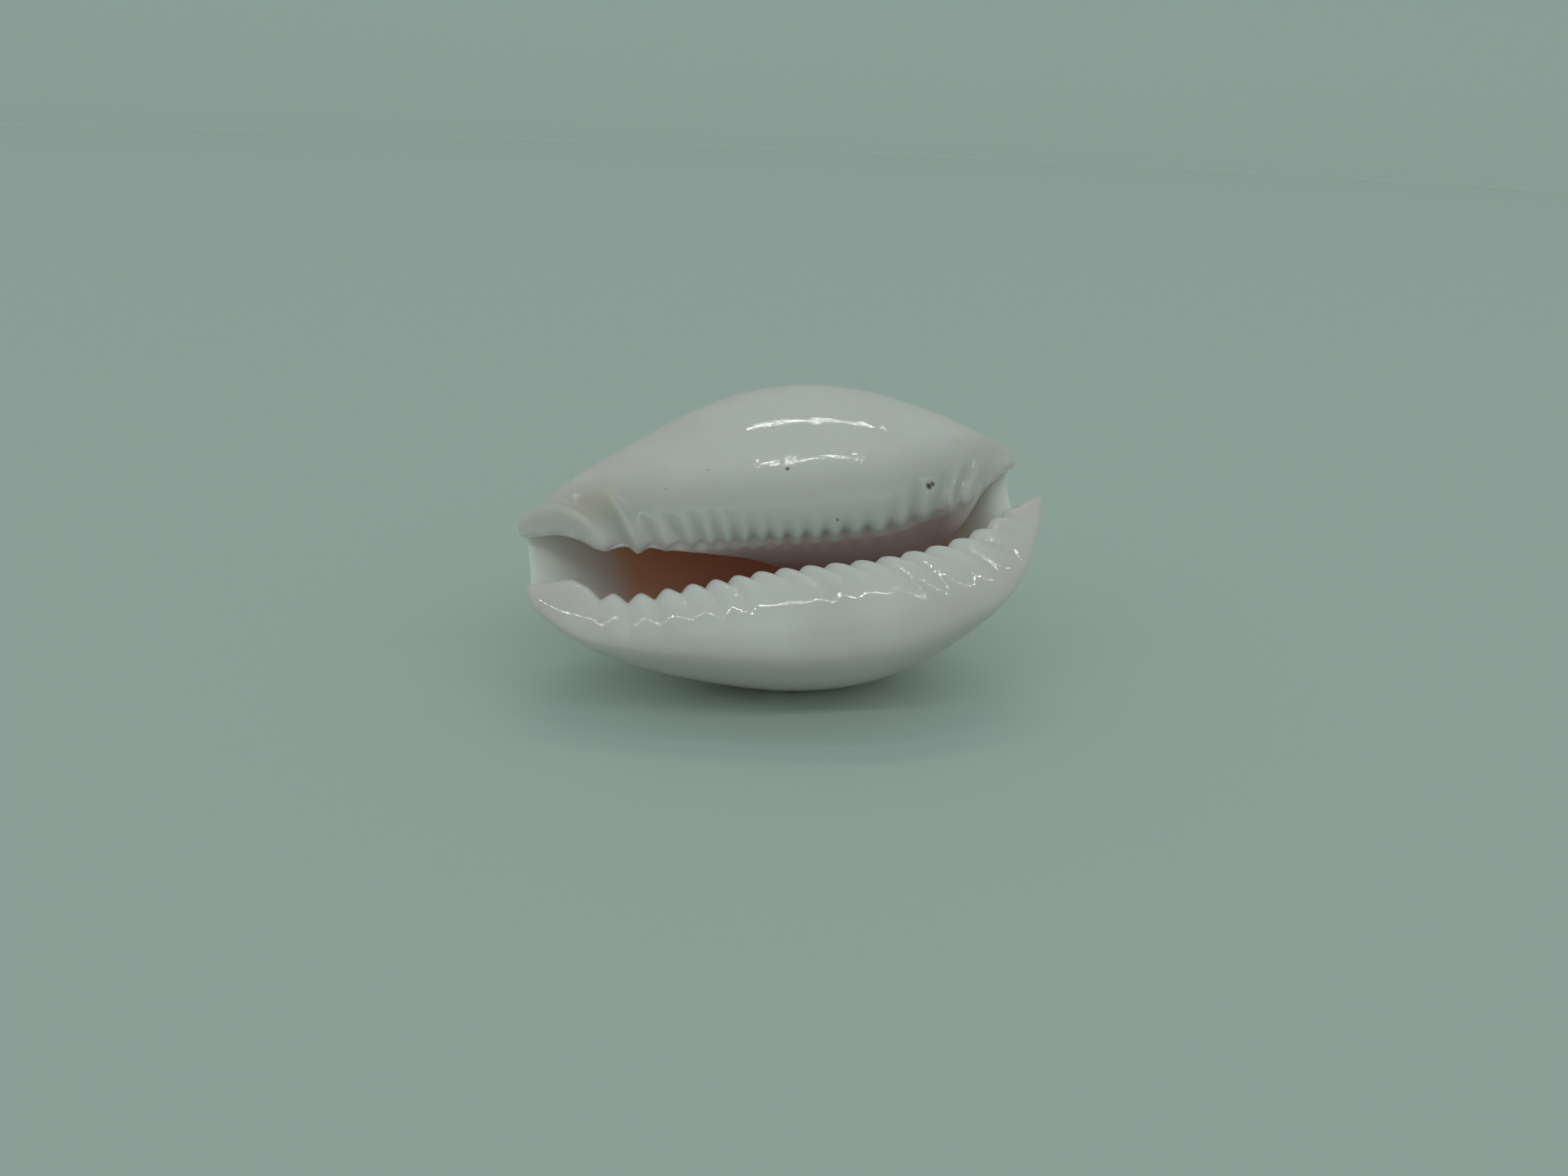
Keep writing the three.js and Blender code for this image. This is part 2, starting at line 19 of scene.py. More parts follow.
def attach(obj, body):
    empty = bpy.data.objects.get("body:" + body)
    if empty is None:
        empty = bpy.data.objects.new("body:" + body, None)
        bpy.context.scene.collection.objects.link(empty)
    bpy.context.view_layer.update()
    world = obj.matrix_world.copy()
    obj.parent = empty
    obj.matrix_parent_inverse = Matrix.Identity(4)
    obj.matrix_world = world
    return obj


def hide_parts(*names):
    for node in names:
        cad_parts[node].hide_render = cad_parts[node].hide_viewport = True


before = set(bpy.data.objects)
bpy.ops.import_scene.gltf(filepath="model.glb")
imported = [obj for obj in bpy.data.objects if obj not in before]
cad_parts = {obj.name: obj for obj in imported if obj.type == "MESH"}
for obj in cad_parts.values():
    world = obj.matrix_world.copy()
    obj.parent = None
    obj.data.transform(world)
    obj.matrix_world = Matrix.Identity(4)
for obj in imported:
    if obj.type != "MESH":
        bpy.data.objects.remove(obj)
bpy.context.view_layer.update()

MM = 0.001

# %% [markdown]
# ## The numbers that shape the shell
#
# The shell has its own axes: x runs along the mouth from the front end (-) to the back end (+), q runs
# across the base from the outer lip (-) to the inner lip (+), and n points out of the base. Each profile
# below is a short list of [x, value] points in millimetres. A list of points with a smooth curve through
# them is easy to read and to change, and it is how a boat builder lofts a hull.

# %% Size, pose and roundness
HALF_LENGTH = 17.5
LEAN = math.radians(38.5)  # the base is rolled this far from level
RISE = math.radians(6)  # the back end stands higher than the front end
REST_FLAT_DEPTH = 0.4  # the crown is worn flat by this much
BACK_ROUNDNESS = 2.4  # superellipse power: 2 is an ellipse, more is boxier
BASE_ROUNDNESS = 2.0
CAVITY_ROUNDNESS = 2.4
MARGIN_MIDDLE = -1.3
MARGIN_SLOPE = 0.38
RIM_ROUNDING = 0.6
LIP_CREST_SHARE = 0.78
CAVITY_CORNER_SHARE = 0.18

# %% Profiles of the outside
LIP_SIDE_WIDTH = [
    (-17.5, 3.2), (-15.8, 5.2), (-11.4, 7.7), (-6.1, 9.2), (0, 10.4),
    (6.1, 10.4), (11.4, 8.8), (15.8, 5.1), (17.5, 1.6),
]
COLUMELLA_SIDE_WIDTH = [
    (-17.5, 2.6), (-15.8, 4.4), (-11.4, 7.2), (-6.1, 9.8), (0, 11.4),
    (6.1, 10.6), (11.4, 8.1), (15.8, 5.2), (17.5, 4.2),
]
BACK_DEPTH = [
    (-17.5, 1.5), (-15.8, 2.8), (-11.4, 7.2), (-6.1, 10.8), (0, 12.8),
    (6.1, 12.0), (11.4, 8.8), (15.8, 2.7), (17.5, 2.1),
]
BASE_RISE = [(-17.5, 0.6), (-11.4, 1.6), (-6.1, 2.5), (0, 3.4), (6.1, 3.5), (11.4, 2.2), (17.5, 0.6)]

# %% Profiles of the two lips
LIP_EDGE = [
    (-17.5, -2.0), (-14.8, -2.0), (-12.8, -3.3), (-10, -3.9), (-3, -3.95),
    (4.5, -4.4), (9, -3.8), (12.4, -2.7), (15, -1.2), (17.5, -0.3),
]
COLUMELLA_EDGE = [
    (-17.5, 1.75), (-15.3, 1.55), (-13.9, 0.9), (-12.8, 0.0), (-12, -0.4), (-10.5, -0.45), (-8, -1.0),
    (-3, -1.75), (2.5, -2.5), (5.5, -2.55), (9.5, -1.4), (12, -0.6), (15.5, 1.1), (17.5, 1.8),
]
LIP_ROLL_RADIUS = [(-17.5, 0.45), (-15, 0.9), (-11, 1.3), (0, 1.45), (10, 1.3), (15, 0.9), (17.5, 0.5)]
COLUMELLA_ROLL_WIDTH = [(-17.5, 1.0), (-14, 1.4), (-10, 2.6), (0, 3.2), (8, 3.2), (14, 1.8), (17.5, 0.8)]
COLUMELLA_ROLL_DEPTH = [(-17.5, 0.45), (-14, 0.7), (-10, 1.3), (0, 1.7), (8, 1.8), (14, 1.1), (17.5, 0.45)]

# %% Profiles of the inner whorl and of the wall
WHORL_DEPTH = [
    (-17.5, 0.25), (-11, 0.2), (-8, 0.4), (-4, 1.5), (-1, 2.6), (3, 3.5), (8, 4.0), (12, 2.6), (15, 1.0),
    (17.5, 0.3),
]
WHORL_BULGE = [(-17.5, 0), (-3, 0), (0, 0.4), (3, 0.8), (8, 1.1), (12, 0.5), (15, 0), (17.5, 0)]
WHORL_HALF_WIDTH = [
    (-17.5, 0.45), (-11, 0.8), (-6, 1.2), (0, 2.2), (5, 3.2), (9, 3.0), (13, 1.6), (17.5, 0.45),
]
WHORL_UNDERSIDE = [
    (-17.5, 0.25), (-11, 0.3), (-6, 0.6), (0, 1.8), (5, 2.8), (9, 2.8), (13, 1.2), (17.5, 0.25),
]
LIP_SIDE_WALL = [(-17.5, 0.7), (-14, 1.6), (-8, 2.6), (0, 3.2), (8, 3.0), (14, 1.6), (17.5, 0.6)]
COLUMELLA_SIDE_WALL = [(-17.5, 0.6), (-14, 1.3), (0, 1.9), (8, 1.9), (14, 1.8), (17.5, 2.2)]
BACK_WALL = [(-17.5, 0.6), (-14, 0.9), (0, 1.4), (8, 1.3), (14, 1.0), (17.5, 0.6)]
BASE_WALL = [(-17.5, 0.75), (-12, 1.5), (0, 2.2), (8, 2.2), (14, 1.4), (17.5, 0.75)]

# %% How far the ends reach, round the section
# Each is a list of [stage, reach] points. Stage 0 is the edge of the outer lip, 1 its crest, 2 the margin,
# 3 the middle of the back, 4 the other margin, 5 the crest of the inner lip, 6 its edge and 7 the underside of
# the inner whorl.
FRONT_REACH = [(0, 17.6), (2, 17.6), (3, 17.35), (4, 17.4), (5, 17.75), (7, 17.7)]
BACK_REACH = [
    (0, 17.8), (1, 17.9), (2, 17.7), (2.5, 17.4), (3, 16.4), (4, 16.7), (4.7, 16.9), (6, 15.9), (7, 15.6),
]
REACH_STARTS_AT = 0.7

# %% [markdown]
# ## Two kinds of curve
#
# The lips need a curve that never overshoots its points, so that an edge stays where it is put. The outer
# form needs a fair curve, one that bends like a thin batten, because a glossy surface shows every sudden
# change of bend as a kink in its highlights. Both are written out here with numpy.


# %% Curves through points
def steady_curve(points, x):
    """A smooth curve through the points, with no overshoot between them."""
    px, py = np.array(points, float).T
    step = np.diff(py) / np.diff(px)
    before = np.concatenate([step[:1], step])
    after = np.concatenate([step, step[-1:]])
    total = np.where(before + after == 0, 1, before + after)
    slope = np.where(before * after > 0, 2 * before * after / total, 0)
    i = np.clip(np.searchsorted(px, x, side="right") - 1, 0, len(px) - 2)
    width = px[i + 1] - px[i]
    t = np.clip((x - px[i]) / width, 0, 1)
    rise = (3 - 2 * t) * t * t
    return (
        (1 - rise) * py[i] + rise * py[i + 1]
        + width * t * (1 - t) * ((1 - t) * slope[i] - t * slope[i + 1])
    )


def fair_curve(points, x):
    """A curve through the points that bends like a thin batten held at each of them."""
    px, py = np.array(points, float).T
    gap = np.diff(px)
    count = len(px)
    rows = np.eye(count)
    sides = np.zeros(count)
    for i in range(1, count - 1):
        rows[i, i - 1 : i + 2] = gap[i - 1], 2 * (gap[i - 1] + gap[i]), gap[i]
        sides[i] = 6 * ((py[i + 1] - py[i]) / gap[i] - (py[i] - py[i - 1]) / gap[i - 1])
    bend = np.linalg.solve(rows, sides)
    x = np.clip(x, px[0], px[-1])
    i = np.clip(np.searchsorted(px, x, side="right") - 1, 0, count - 2)
    a, b, g = px[i + 1] - x, x - px[i], gap[i]
    return (
        (bend[i] * a**3 + bend[i + 1] * b**3) / (6 * g)
        + (py[i] / g - bend[i] * g / 6) * a
        + (py[i + 1] / g - bend[i + 1] * g / 6) * b
    )


def ease(t):
    """0 below 0, 1 above 1, and a soft step between."""
    t = np.clip(t, 0, 1)
    return t * t * (3 - 2 * t)


middle_width = fair_curve(LIP_SIDE_WIDTH, 0) + fair_curve(COLUMELLA_SIDE_WIDTH, 0)
print("Width at mid length:", round(float(middle_width), 2), "mm")

# %% [markdown]
# ## Where the sections stand
#
# The surface is drawn as many cross-sections, close together, because the teeth are only 1.6 mm apart and
# need over a dozen sections each. At both ends the wall thins to nothing over a rounded rim, so that the
# edge of the canal is a soft lip and the mesh closes by itself.

# %% Sections along the shell
SECTIONS = 372
RIM_STEPS = 8


def sections_along():
    """The x of each section, and how full its wall is there: 1, falling to 0 at the two rims."""
    angle = math.pi / 2 * np.arange(1, RIM_STEPS + 1) / RIM_STEPS
    rim_x = HALF_LENGTH - RIM_ROUNDING * (1 - np.sin(angle))
    rim_full = np.cos(angle)
    rim_full[-1] = 0
    middle = np.linspace(-HALF_LENGTH + RIM_ROUNDING, HALF_LENGTH - RIM_ROUNDING, SECTIONS)
    x = np.concatenate([-rim_x[::-1], middle, rim_x])
    full = np.concatenate([rim_full[::-1], np.ones(SECTIONS), rim_full])
    return x, full


along, fullness = sections_along()
middle_section = len(along) // 2
spacing = along[middle_section] - along[middle_section - 1]
print(len(along), "sections,", round(spacing, 3), "mm apart")

# %% [markdown]
# ## One closed band
#
# Each section is one closed loop: out of the mouth over the outer lip, round the back, in over the inner
# lip, down the inner whorl, and home along the inside of the wall. Quarter superellipses make the round
# parts. The same count of points on the outside and the inside lets each outside point have a partner
# across the wall.

# %% Points round the band
LIP_ROLL, LIP_BASE, BACK, COLUMELLA_BASE, COLUMELLA_ROLL, WHORL = 16, 14, 18, 24, 18, 14


def column(values):
    return np.asarray(values)[:, None]


def quarter(centre_q, centre_n, half_q, half_n, power, count, from_top=False):
    """Quarter superellipses, one per section, from (centre + half_q, centre) to (centre, centre + half_n)."""
    share = np.arange(count + 1) / count
    angle = math.pi / 2 * (1 - share if from_top else share)
    q = column(centre_q) + column(half_q) * np.clip(np.cos(angle), 0, None) ** (2 / power)
    n = column(centre_n) + column(half_n) * np.clip(np.sin(angle), 0, None) ** (2 / power)
    return q, n


class Band:
    """The loop of every section, gathered piece by piece, with the stage of each point."""

    def __init__(self):
        self.q, self.n, self.stage = [], [], []

    def add(self, points, stages=None):
        q, n = points
        self.q.append(q)
        self.n.append(n)
        if stages is not None:
            self.stage.append(stages)


margin = MARGIN_MIDDLE + MARGIN_SLOPE * along / HALF_LENGTH
depth = fair_curve(BACK_DEPTH, along)
rise = fair_curve(BASE_RISE, along)
lip_side = fair_curve(LIP_SIDE_WIDTH, along)
columella_side = fair_curve(COLUMELLA_SIDE_WIDTH, along)
roll_radius = steady_curve(LIP_ROLL_RADIUS, along)
lip_crest_q = steady_curve(LIP_EDGE, along) - roll_radius
lip_crest_n = margin + rise * LIP_CREST_SHARE
roll_width = steady_curve(COLUMELLA_ROLL_WIDTH, along)
roll_depth = steady_curve(COLUMELLA_ROLL_DEPTH, along)
edge_q = steady_curve(COLUMELLA_EDGE, along)
crest_q = edge_q + roll_width
crest_n = margin + rise
mouth_width = (edge_q - lip_crest_q - roll_radius)[np.abs(along) < 12]
print("Between the canals the mouth is", round(float(mouth_width.min()), 2), "mm at its narrowest")


# %% The outside, from lip to lip
def without_last(points):
    """Drops each section's last point, because the next piece of the band starts with it."""
    return points[0][:, :-1], points[1][:, :-1]


def steps(count):
    """Shares from 0 up to, but not including, 1."""
    return np.arange(count) / count


band = Band()
zero = np.zeros(len(along))
lip_reach = -(lip_side + lip_crest_q)
turn = steps(LIP_ROLL)
angle = math.pi / 2 * turn
band.add(
    (
        column(lip_crest_q) + column(roll_radius) * np.cos(angle),
        column(lip_crest_n - roll_radius) + column(roll_radius) * np.sin(angle),
    ),
    turn,
)
for piece, count, first_stage in (
    ((lip_crest_q, margin, lip_reach, lip_crest_n - margin, BASE_ROUNDNESS, LIP_BASE, True), LIP_BASE, 1),
    ((zero, margin, -lip_side, -depth, BACK_ROUNDNESS, BACK), BACK, 2),
    ((zero, margin, columella_side, -depth, BACK_ROUNDNESS, BACK, True), BACK, 3),
    ((crest_q, margin, columella_side - crest_q, rise, BASE_ROUNDNESS, COLUMELLA_BASE), COLUMELLA_BASE, 4),
):
    band.add(without_last(quarter(*piece)), first_stage + steps(count))
turn = steps(COLUMELLA_ROLL)
angle = math.pi / 2 * turn
band.add(
    (
        column(crest_q) - column(roll_width) * np.sin(angle),
        column(crest_n - roll_depth) + column(roll_depth) * np.cos(angle),
    ),
    5 + turn,
)
print(sum(part.shape[1] for part in band.q), "points so far, from the outer lip to the edge of the inner lip")

# %% The inner whorl
whorl_half = steady_curve(WHORL_HALF_WIDTH, along)
whorl_q = edge_q - steady_curve(WHORL_BULGE, along) + whorl_half
whorl_top = crest_n - roll_depth
whorl_n = whorl_top - steady_curve(WHORL_DEPTH, along)
underside = steady_curve(WHORL_UNDERSIDE, along)
half_whorl = WHORL // 2
down = np.arange(half_whorl + 1) / half_whorl
band.add(
    (
        column(edge_q) + column(whorl_q - whorl_half - edge_q) * ease(down),
        column(whorl_top) + column(whorl_n - whorl_top) * down,
    ),
    6 + down / 2,
)
q, n = quarter(whorl_q, whorl_n, -whorl_half, -underside, 2, half_whorl)
band.add((q[:, 1:], n[:, 1:]), 6.5 + (np.arange(half_whorl) + 1) / WHORL)
outside_count = sum(part.shape[1] for part in band.q)
print(outside_count, "points on the outside half of the band")

# %% The inside of the wall
CEILING_SHARE = 0.55  # the ceiling meets the inner whorl this far across to the cavity's side
cavity_right = columella_side - steady_curve(COLUMELLA_SIDE_WALL, along)
cavity_left = lip_side - steady_curve(LIP_SIDE_WALL, along)
corner = depth * CAVITY_CORNER_SHARE
under_q = whorl_q + (cavity_right - whorl_q) * CEILING_SHARE
under_n = crest_n - steady_curve(BASE_WALL, along)
bottom_n = whorl_n - underside
floor_n = margin - depth + steady_curve(BACK_WALL, along)
right_corner_n = under_n - corner
left_corner_n = lip_crest_n - 2 * roll_radius - corner
shoulder = WHORL + COLUMELLA_ROLL
t = np.arange(1, shoulder + 1) / shoulder
band.add(
    (
        column(whorl_q) + column(under_q - whorl_q) * t,
        column(bottom_n) + column(under_n - bottom_n) * ease(t),
    )
)
for points in (
    quarter(under_q, right_corner_n, cavity_right - under_q, corner, 2, COLUMELLA_BASE, True),
    quarter(zero, right_corner_n, cavity_right, floor_n - right_corner_n, CAVITY_ROUNDNESS, BACK),
    quarter(zero, left_corner_n, -cavity_left, floor_n - left_corner_n, CAVITY_ROUNDNESS, BACK, True),
    quarter(lip_crest_q, left_corner_n, -(cavity_left + lip_crest_q), corner, 2, LIP_BASE),
):
    band.add((points[0][:, 1:], points[1][:, 1:]))
angle = -math.pi / 2 * np.arange(LIP_ROLL - 1, 0, -1) / LIP_ROLL
band.add(
    (
        column(lip_crest_q) + column(roll_radius) * np.cos(angle),
        column(lip_crest_n - roll_radius) + column(roll_radius) * np.sin(angle),
    )
)
loop_q = np.concatenate(band.q, axis=1)
loop_n = np.concatenate(band.n, axis=1)
around = loop_q.shape[1]
partner = (around - np.arange(around)) % around
stage = np.concatenate(band.stage)
stage = np.concatenate([stage, stage[around - np.arange(outside_count, around)]])
print(around, "points round each section")

# %% [markdown]
# ## What each point needs to know
#
# The teeth, the folds and the colours all depend on where a point is on the shell, so that is stored with
# the mesh as attributes: how far it is below the margin, how far it is inside the mouth, and its place on
# the base. The way out of the surface is stored too, for the steps that push the surface in and out.

# %% Push directions and distances into the mouth
FRONT_FLOOR = 6.0  # the pale glaze runs this far in over the floor of the front canal
BACK_FLOOR = 5.5
PLAIN_BAND_HEIGHT = 6.6  # the plain band between the margin and the spots, under the outer lip
PLAIN_BAND_HALF_LENGTH = 16.5
PLAIN_BAND_FADE = 3.0  # it thins out over this much of the crown
PLAIN_BAND_LEAST = 2.4
NO_BACK = -2.0  # stored as the depth below the margin for every place inside the mouth

tangent_q = np.roll(loop_q, -1, axis=1) - np.roll(loop_q, 1, axis=1)
tangent_n = np.roll(loop_n, -1, axis=1) - np.roll(loop_n, 1, axis=1)
length = np.maximum(np.hypot(tangent_q, tangent_n), 1e-6)
push_q, push_n = tangent_n / length, -tangent_q / length
if push_n[middle_section, LIP_ROLL] < 0:
    push_q, push_n = -push_q, -push_n

gaps = np.hypot(np.diff(loop_q, axis=1), np.diff(loop_n, axis=1))
travelled = np.concatenate([np.zeros((len(along), 1)), np.cumsum(gaps, axis=1)], axis=1)
closing_gap = np.hypot(loop_q[:, 0] - loop_q[:, -1], loop_n[:, 0] - loop_n[:, -1])
whole = travelled[:, -1:] + column(closing_gap)
inner_edge = LIP_ROLL + LIP_BASE + 2 * BACK + COLUMELLA_BASE + COLUMELLA_ROLL
from_inner_lip = travelled - travelled[:, inner_edge : inner_edge + 1]
from_outer_lip = whole - travelled
inside_mouth = np.where(np.arange(around) > inner_edge, np.minimum(from_inner_lip, from_outer_lip), 0)
arch = np.sqrt(np.clip(1 - (along / PLAIN_BAND_HALF_LENGTH) ** 2, 0, 1))
plain_band = np.where(loop_q < 0, column(PLAIN_BAND_HEIGHT * arch), 0)
plain_band = np.maximum(plain_band * ease(-loop_q / PLAIN_BAND_FADE), PLAIN_BAND_LEAST)
from_front_rim = column(along + HALF_LENGTH)
from_back_rim = column(HALF_LENGTH - along)
canal_floor = np.minimum(from_front_rim / FRONT_FLOOR, from_back_rim / BACK_FLOOR)
below_margin = np.where(np.arange(around) <= inner_edge, column(margin) - loop_n, NO_BACK)
print("Deepest place inside:", round(float(inside_mouth.max()), 1), "mm from a lip")

# %% [markdown]
# ## Counting the teeth
#
# The teeth aren't evenly spaced: they crowd a little towards the ends. So each lip has a counter, a curve
# that goes up by one for every tooth, and a wave of that counter makes the ridges. On the outer lip the
# grooves slant back as they leave the mouth; on the inner lip they fan out towards both ends.

# %% Tooth counters
LIP_TEETH = [(-12, 0), (-7, 3), (-2.6, 6), (2.2, 9), (7.3, 12), (12.4, 15), (15, 17)]
LIP_TOOTH_DEPTH = [(-14.2, 0), (-12.6, 0.75), (-9.5, 0.8), (-6, 0.7), (12, 0.7), (14.5, 0.5), (16, 0)]
LIP_TOOTH_SLANT = [(-14, -0.2), (-8, 0.15), (0, 0.6), (8, 0.8)]
LIP_TOOTH_STRAIGHT = 0.67
LIP_GROOVE_LENGTH = [(-14, 6.5), (-7, 5.6), (-2, 4.6), (3, 4.8), (9, 6.5), (15, 7)]
LIP_GROOVE_UNEVEN = 0.14  # the grooves differ in length by this share
LIP_GROOVE_RHYTHM = 1.9  # radians from one tooth to the next, so that no two neighbours are alike
COLUMELLA_TEETH = [(-10, 0), (-6.6, 2), (-3.1, 5), (0.3, 8), (4.2, 11), (7.5, 13), (11, 15)]
COLUMELLA_TOOTH_DEPTH = [(-10, 0), (-8.8, 0.4), (9, 0.38), (10.3, 0)]
COLUMELLA_TOOTH_SLANT = [(-11, 0.5), (0, 0), (11, -0.35)]
COLUMELLA_TOOTH_START = [(-10, -0.05), (-6, 0.12), (0, 0.4), (5, 0.4), (9, 0.05)]  # as a share of the roll
COLUMELLA_TOOTH_RISE = 0.6  # the share of the roll over which a tooth rises to its full height
EDGE_FADE = 0.8  # teeth and folds fade out over this much past the inner lip's edge
FOLD_FADE = 0.2  # folds fade in over this share of the base


def count_teeth(points, x):
    """The tooth counter at x. Beyond the last points it keeps its spacing."""
    (x0, n0), (x1, n1) = points[0], points[1]
    (xa, na), (xb, nb) = points[-2], points[-1]
    inside = steady_curve(points, x)
    early = n0 + (x - x0) * (n1 - n0) / (x1 - x0)
    late = nb + (x - xb) * (nb - na) / (xb - xa)
    return np.where(x < x0, early, np.where(x > xb, late, inside))


x_grid = np.repeat(column(along), around, axis=1)
index = np.arange(around)
on_lip_top = index <= LIP_ROLL + LIP_BASE
on_lip_under = index > around - LIP_ROLL
from_edge = np.where(on_lip_top, travelled, 0)
slanted = steady_curve(LIP_TOOTH_SLANT, x_grid) * np.maximum(from_edge - LIP_TOOTH_STRAIGHT, 0)
lip_count = count_teeth(LIP_TEETH, x_grid - slanted)
unevenness = 1 + LIP_GROOVE_UNEVEN * np.sin(LIP_GROOVE_RHYTHM * lip_count)
groove_length = steady_curve(LIP_GROOVE_LENGTH, x_grid) * unevenness
lip_fade = np.clip(1 - from_edge / groove_length, 0, 1) ** 2
under_fade = np.clip(np.cos(from_outer_lip / column(roll_radius)), 0, 1)
lip_weight = np.where(on_lip_top, lip_fade, np.where(on_lip_under, under_fade, 0))
lip_groove = steady_curve(LIP_TOOTH_DEPTH, x_grid) * lip_weight
first_count, last_count = count_teeth(LIP_TEETH, np.array([-13.0, 15.5]))
print("Teeth on the outer lip:", int(last_count - first_count))

# %% The inner lip's counter, and where folds may lie
roll_start = LIP_ROLL + LIP_BASE + 2 * BACK + COLUMELLA_BASE
on_roll = (index >= roll_start) & (index <= inner_edge)
past_edge = index > inner_edge
roll_share = (index - roll_start) / COLUMELLA_ROLL
edge_fade = 1 - ease(from_inner_lip / EDGE_FADE)
ridge_start = steady_curve(COLUMELLA_TOOTH_START, x_grid)
rising = ease((roll_share - ridge_start) / COLUMELLA_TOOTH_RISE)
columella_weight = np.where(on_roll, rising, np.where(past_edge, edge_fade, 0))
columella_weight = np.where(index > outside_count, 0, columella_weight)
inner_groove = steady_curve(COLUMELLA_TOOTH_DEPTH, x_grid) * columella_weight
from_inner_edge = np.where(index <= inner_edge, loop_q - column(edge_q), 0)
slant = steady_curve(COLUMELLA_TOOTH_SLANT, x_grid)
inner_count = count_teeth(COLUMELLA_TEETH, x_grid + slant * from_inner_edge)
base_start = roll_start - COLUMELLA_BASE
base_share = (index - base_start) / COLUMELLA_BASE
fold_weight = np.where(index >= base_start, ease(base_share / FOLD_FADE), 0)
fold_weight = np.where(past_edge, np.where(index > outside_count, 0, edge_fade), fold_weight)
print("Teeth on the inner lip:", int(inner_count[:, inner_edge].max()))

# %% [markdown]
# ## From numbers to a mesh
#
# The sections are joined into quads. Near the ends each part of a section is pulled to its own reach, which
# leaves the lips longer than the canal floors. The shell is then laid on its back, its crown is worn flat
# where it rests, and it is centred over the origin, exactly as the solid is.

# %% Lay the shell on its back
middle_q = (loop_q + loop_q[:, partner]) / 2
middle_n = (loop_n + loop_n[:, partner]) / 2
wall_q = middle_q + (loop_q - middle_q) * column(fullness)
wall_n = middle_n + (loop_n - middle_n) * column(fullness)
reach = np.where(x_grid < 0, steady_curve(FRONT_REACH, stage)[None], steady_curve(BACK_REACH, stage)[None])
towards_end = ease((np.abs(x_grid) / HALF_LENGTH - REACH_STARTS_AT) / (1 - REACH_STARTS_AT))
wall_x = x_grid * (1 + (reach / HALF_LENGTH - 1) * towards_end)

turn_over = Matrix.Rotation(-RISE, 3, "Y") @ Matrix.Rotation(LEAN, 3, "X")
turn_over = np.array(turn_over)
places = np.stack([wall_x, wall_q, wall_n], -1).reshape(-1, 3) @ turn_over.T
places[:, 2] -= places[:, 2].min() + REST_FLAT_DEPTH
places[:, 2] = np.maximum(places[:, 2], 0)
middle = (places.min(0) + places.max(0)) / 2
places[:, :2] -= middle[:2]
places *= MM
pushes = np.stack([np.zeros_like(push_q), push_q, push_n], -1).reshape(-1, 3) @ turn_over.T
print("The shell spans", np.round((places.max(0) - places.min(0)) / MM, 2), "mm")

# %% Join the sections into quads
def shell_faces():
    """Quads between neighbouring sections. At the two rims a point and its partner are one vertex."""
    rows = len(along)
    ids = np.arange(rows * around).reshape(rows, around)
    merged = np.minimum(np.arange(around), partner)
    ids[0] = ids[0, merged]
    ids[-1] = ids[-1, merged]
    following = np.roll(ids, -1, axis=1)
    return np.stack([ids[:-1], following[:-1], following[1:], ids[1:]], -1).reshape(-1, 4)


faces = shell_faces()
used, faces = np.unique(faces, return_inverse=True)
faces = faces.reshape(-1, 4)
shell_mesh = bpy.data.meshes.new("shell enamel surface")
shell_mesh.from_pydata(places[used], [], faces.tolist())
shell_mesh.polygons.foreach_set("use_smooth", np.ones(len(faces), bool))


def store(name, values):
    """Keeps one number for each vertex of the shell."""
    layer = shell_mesh.attributes.new(name, "FLOAT", "POINT")
    layer.data.foreach_set("value", np.asarray(values, np.float32).reshape(-1)[used])


def store_vector(name, values):
    """Keeps one direction or place for each vertex of the shell."""
    layer = shell_mesh.attributes.new(name, "FLOAT_VECTOR", "POINT")
    layer.data.foreach_set("vector", np.asarray(values, np.float32).reshape(-1, 3)[used].ravel())


OFF_THE_BASE = 99  # stored as the place across the base for every point that isn't on it
FAR_FROM_LIP = 9
# So the grooves between the inner teeth take on the mouth's mauve, which is partly painted shade.
BETWEEN_TEETH_TINT = 0.35  # between the inner lip's teeth the mouth's colour reaches this much further out
TINT_STARTS_AT = 0.35  # as a share of the roll
TINT_RISE = 0.6
place_q = np.where(index <= inner_edge, loop_q, column(edge_q))
on_inner_base = (index > base_start) & (index <= inner_edge)
between_teeth = (0.5 - 0.5 * np.cos(2 * math.pi * inner_count)) * columella_weight
near_inner_edge = ease((roll_share - TINT_STARTS_AT) / TINT_RISE) * (index <= outside_count)
store_vector("way out", pushes)
store_vector("place on base", np.stack([x_grid, place_q, np.zeros_like(x_grid)], -1))
store("lip groove", lip_groove)
store("lip count", lip_count)
store("inner groove", inner_groove)
store("inner count", inner_count)
store("fold weight", fold_weight)
store("below margin", below_margin)
# The tint between the inner teeth is stored as extra depth inside the mouth: it lays mauve and painted shade
# into the grooves.
store("inside mouth", inside_mouth + BETWEEN_TEETH_TINT * between_teeth * near_inner_edge)
store("plain band", plain_band)
store("canal floor", np.broadcast_to(canal_floor, x_grid.shape))
store("along", x_grid)
store("across", np.where(index <= inner_edge, loop_q, OFF_THE_BASE))
store("from inner lip", np.where(on_inner_base, loop_q - column(edge_q), FAR_FROM_LIP))
shell_mesh.update()
cowrie = bpy.data.objects.new("cowrie shell", shell_mesh)
bpy.context.scene.collection.objects.link(cowrie)
print(len(shell_mesh.vertices), "vertices and", 2 * len(faces), "triangles")

# %% [markdown]
# ## A helper for node trees
#
# The teeth, the folds and the enamel are all node trees. Drawing them by hand would take many clicks, so
# one short helper adds a node, sets its options, and then sets or links its inputs.


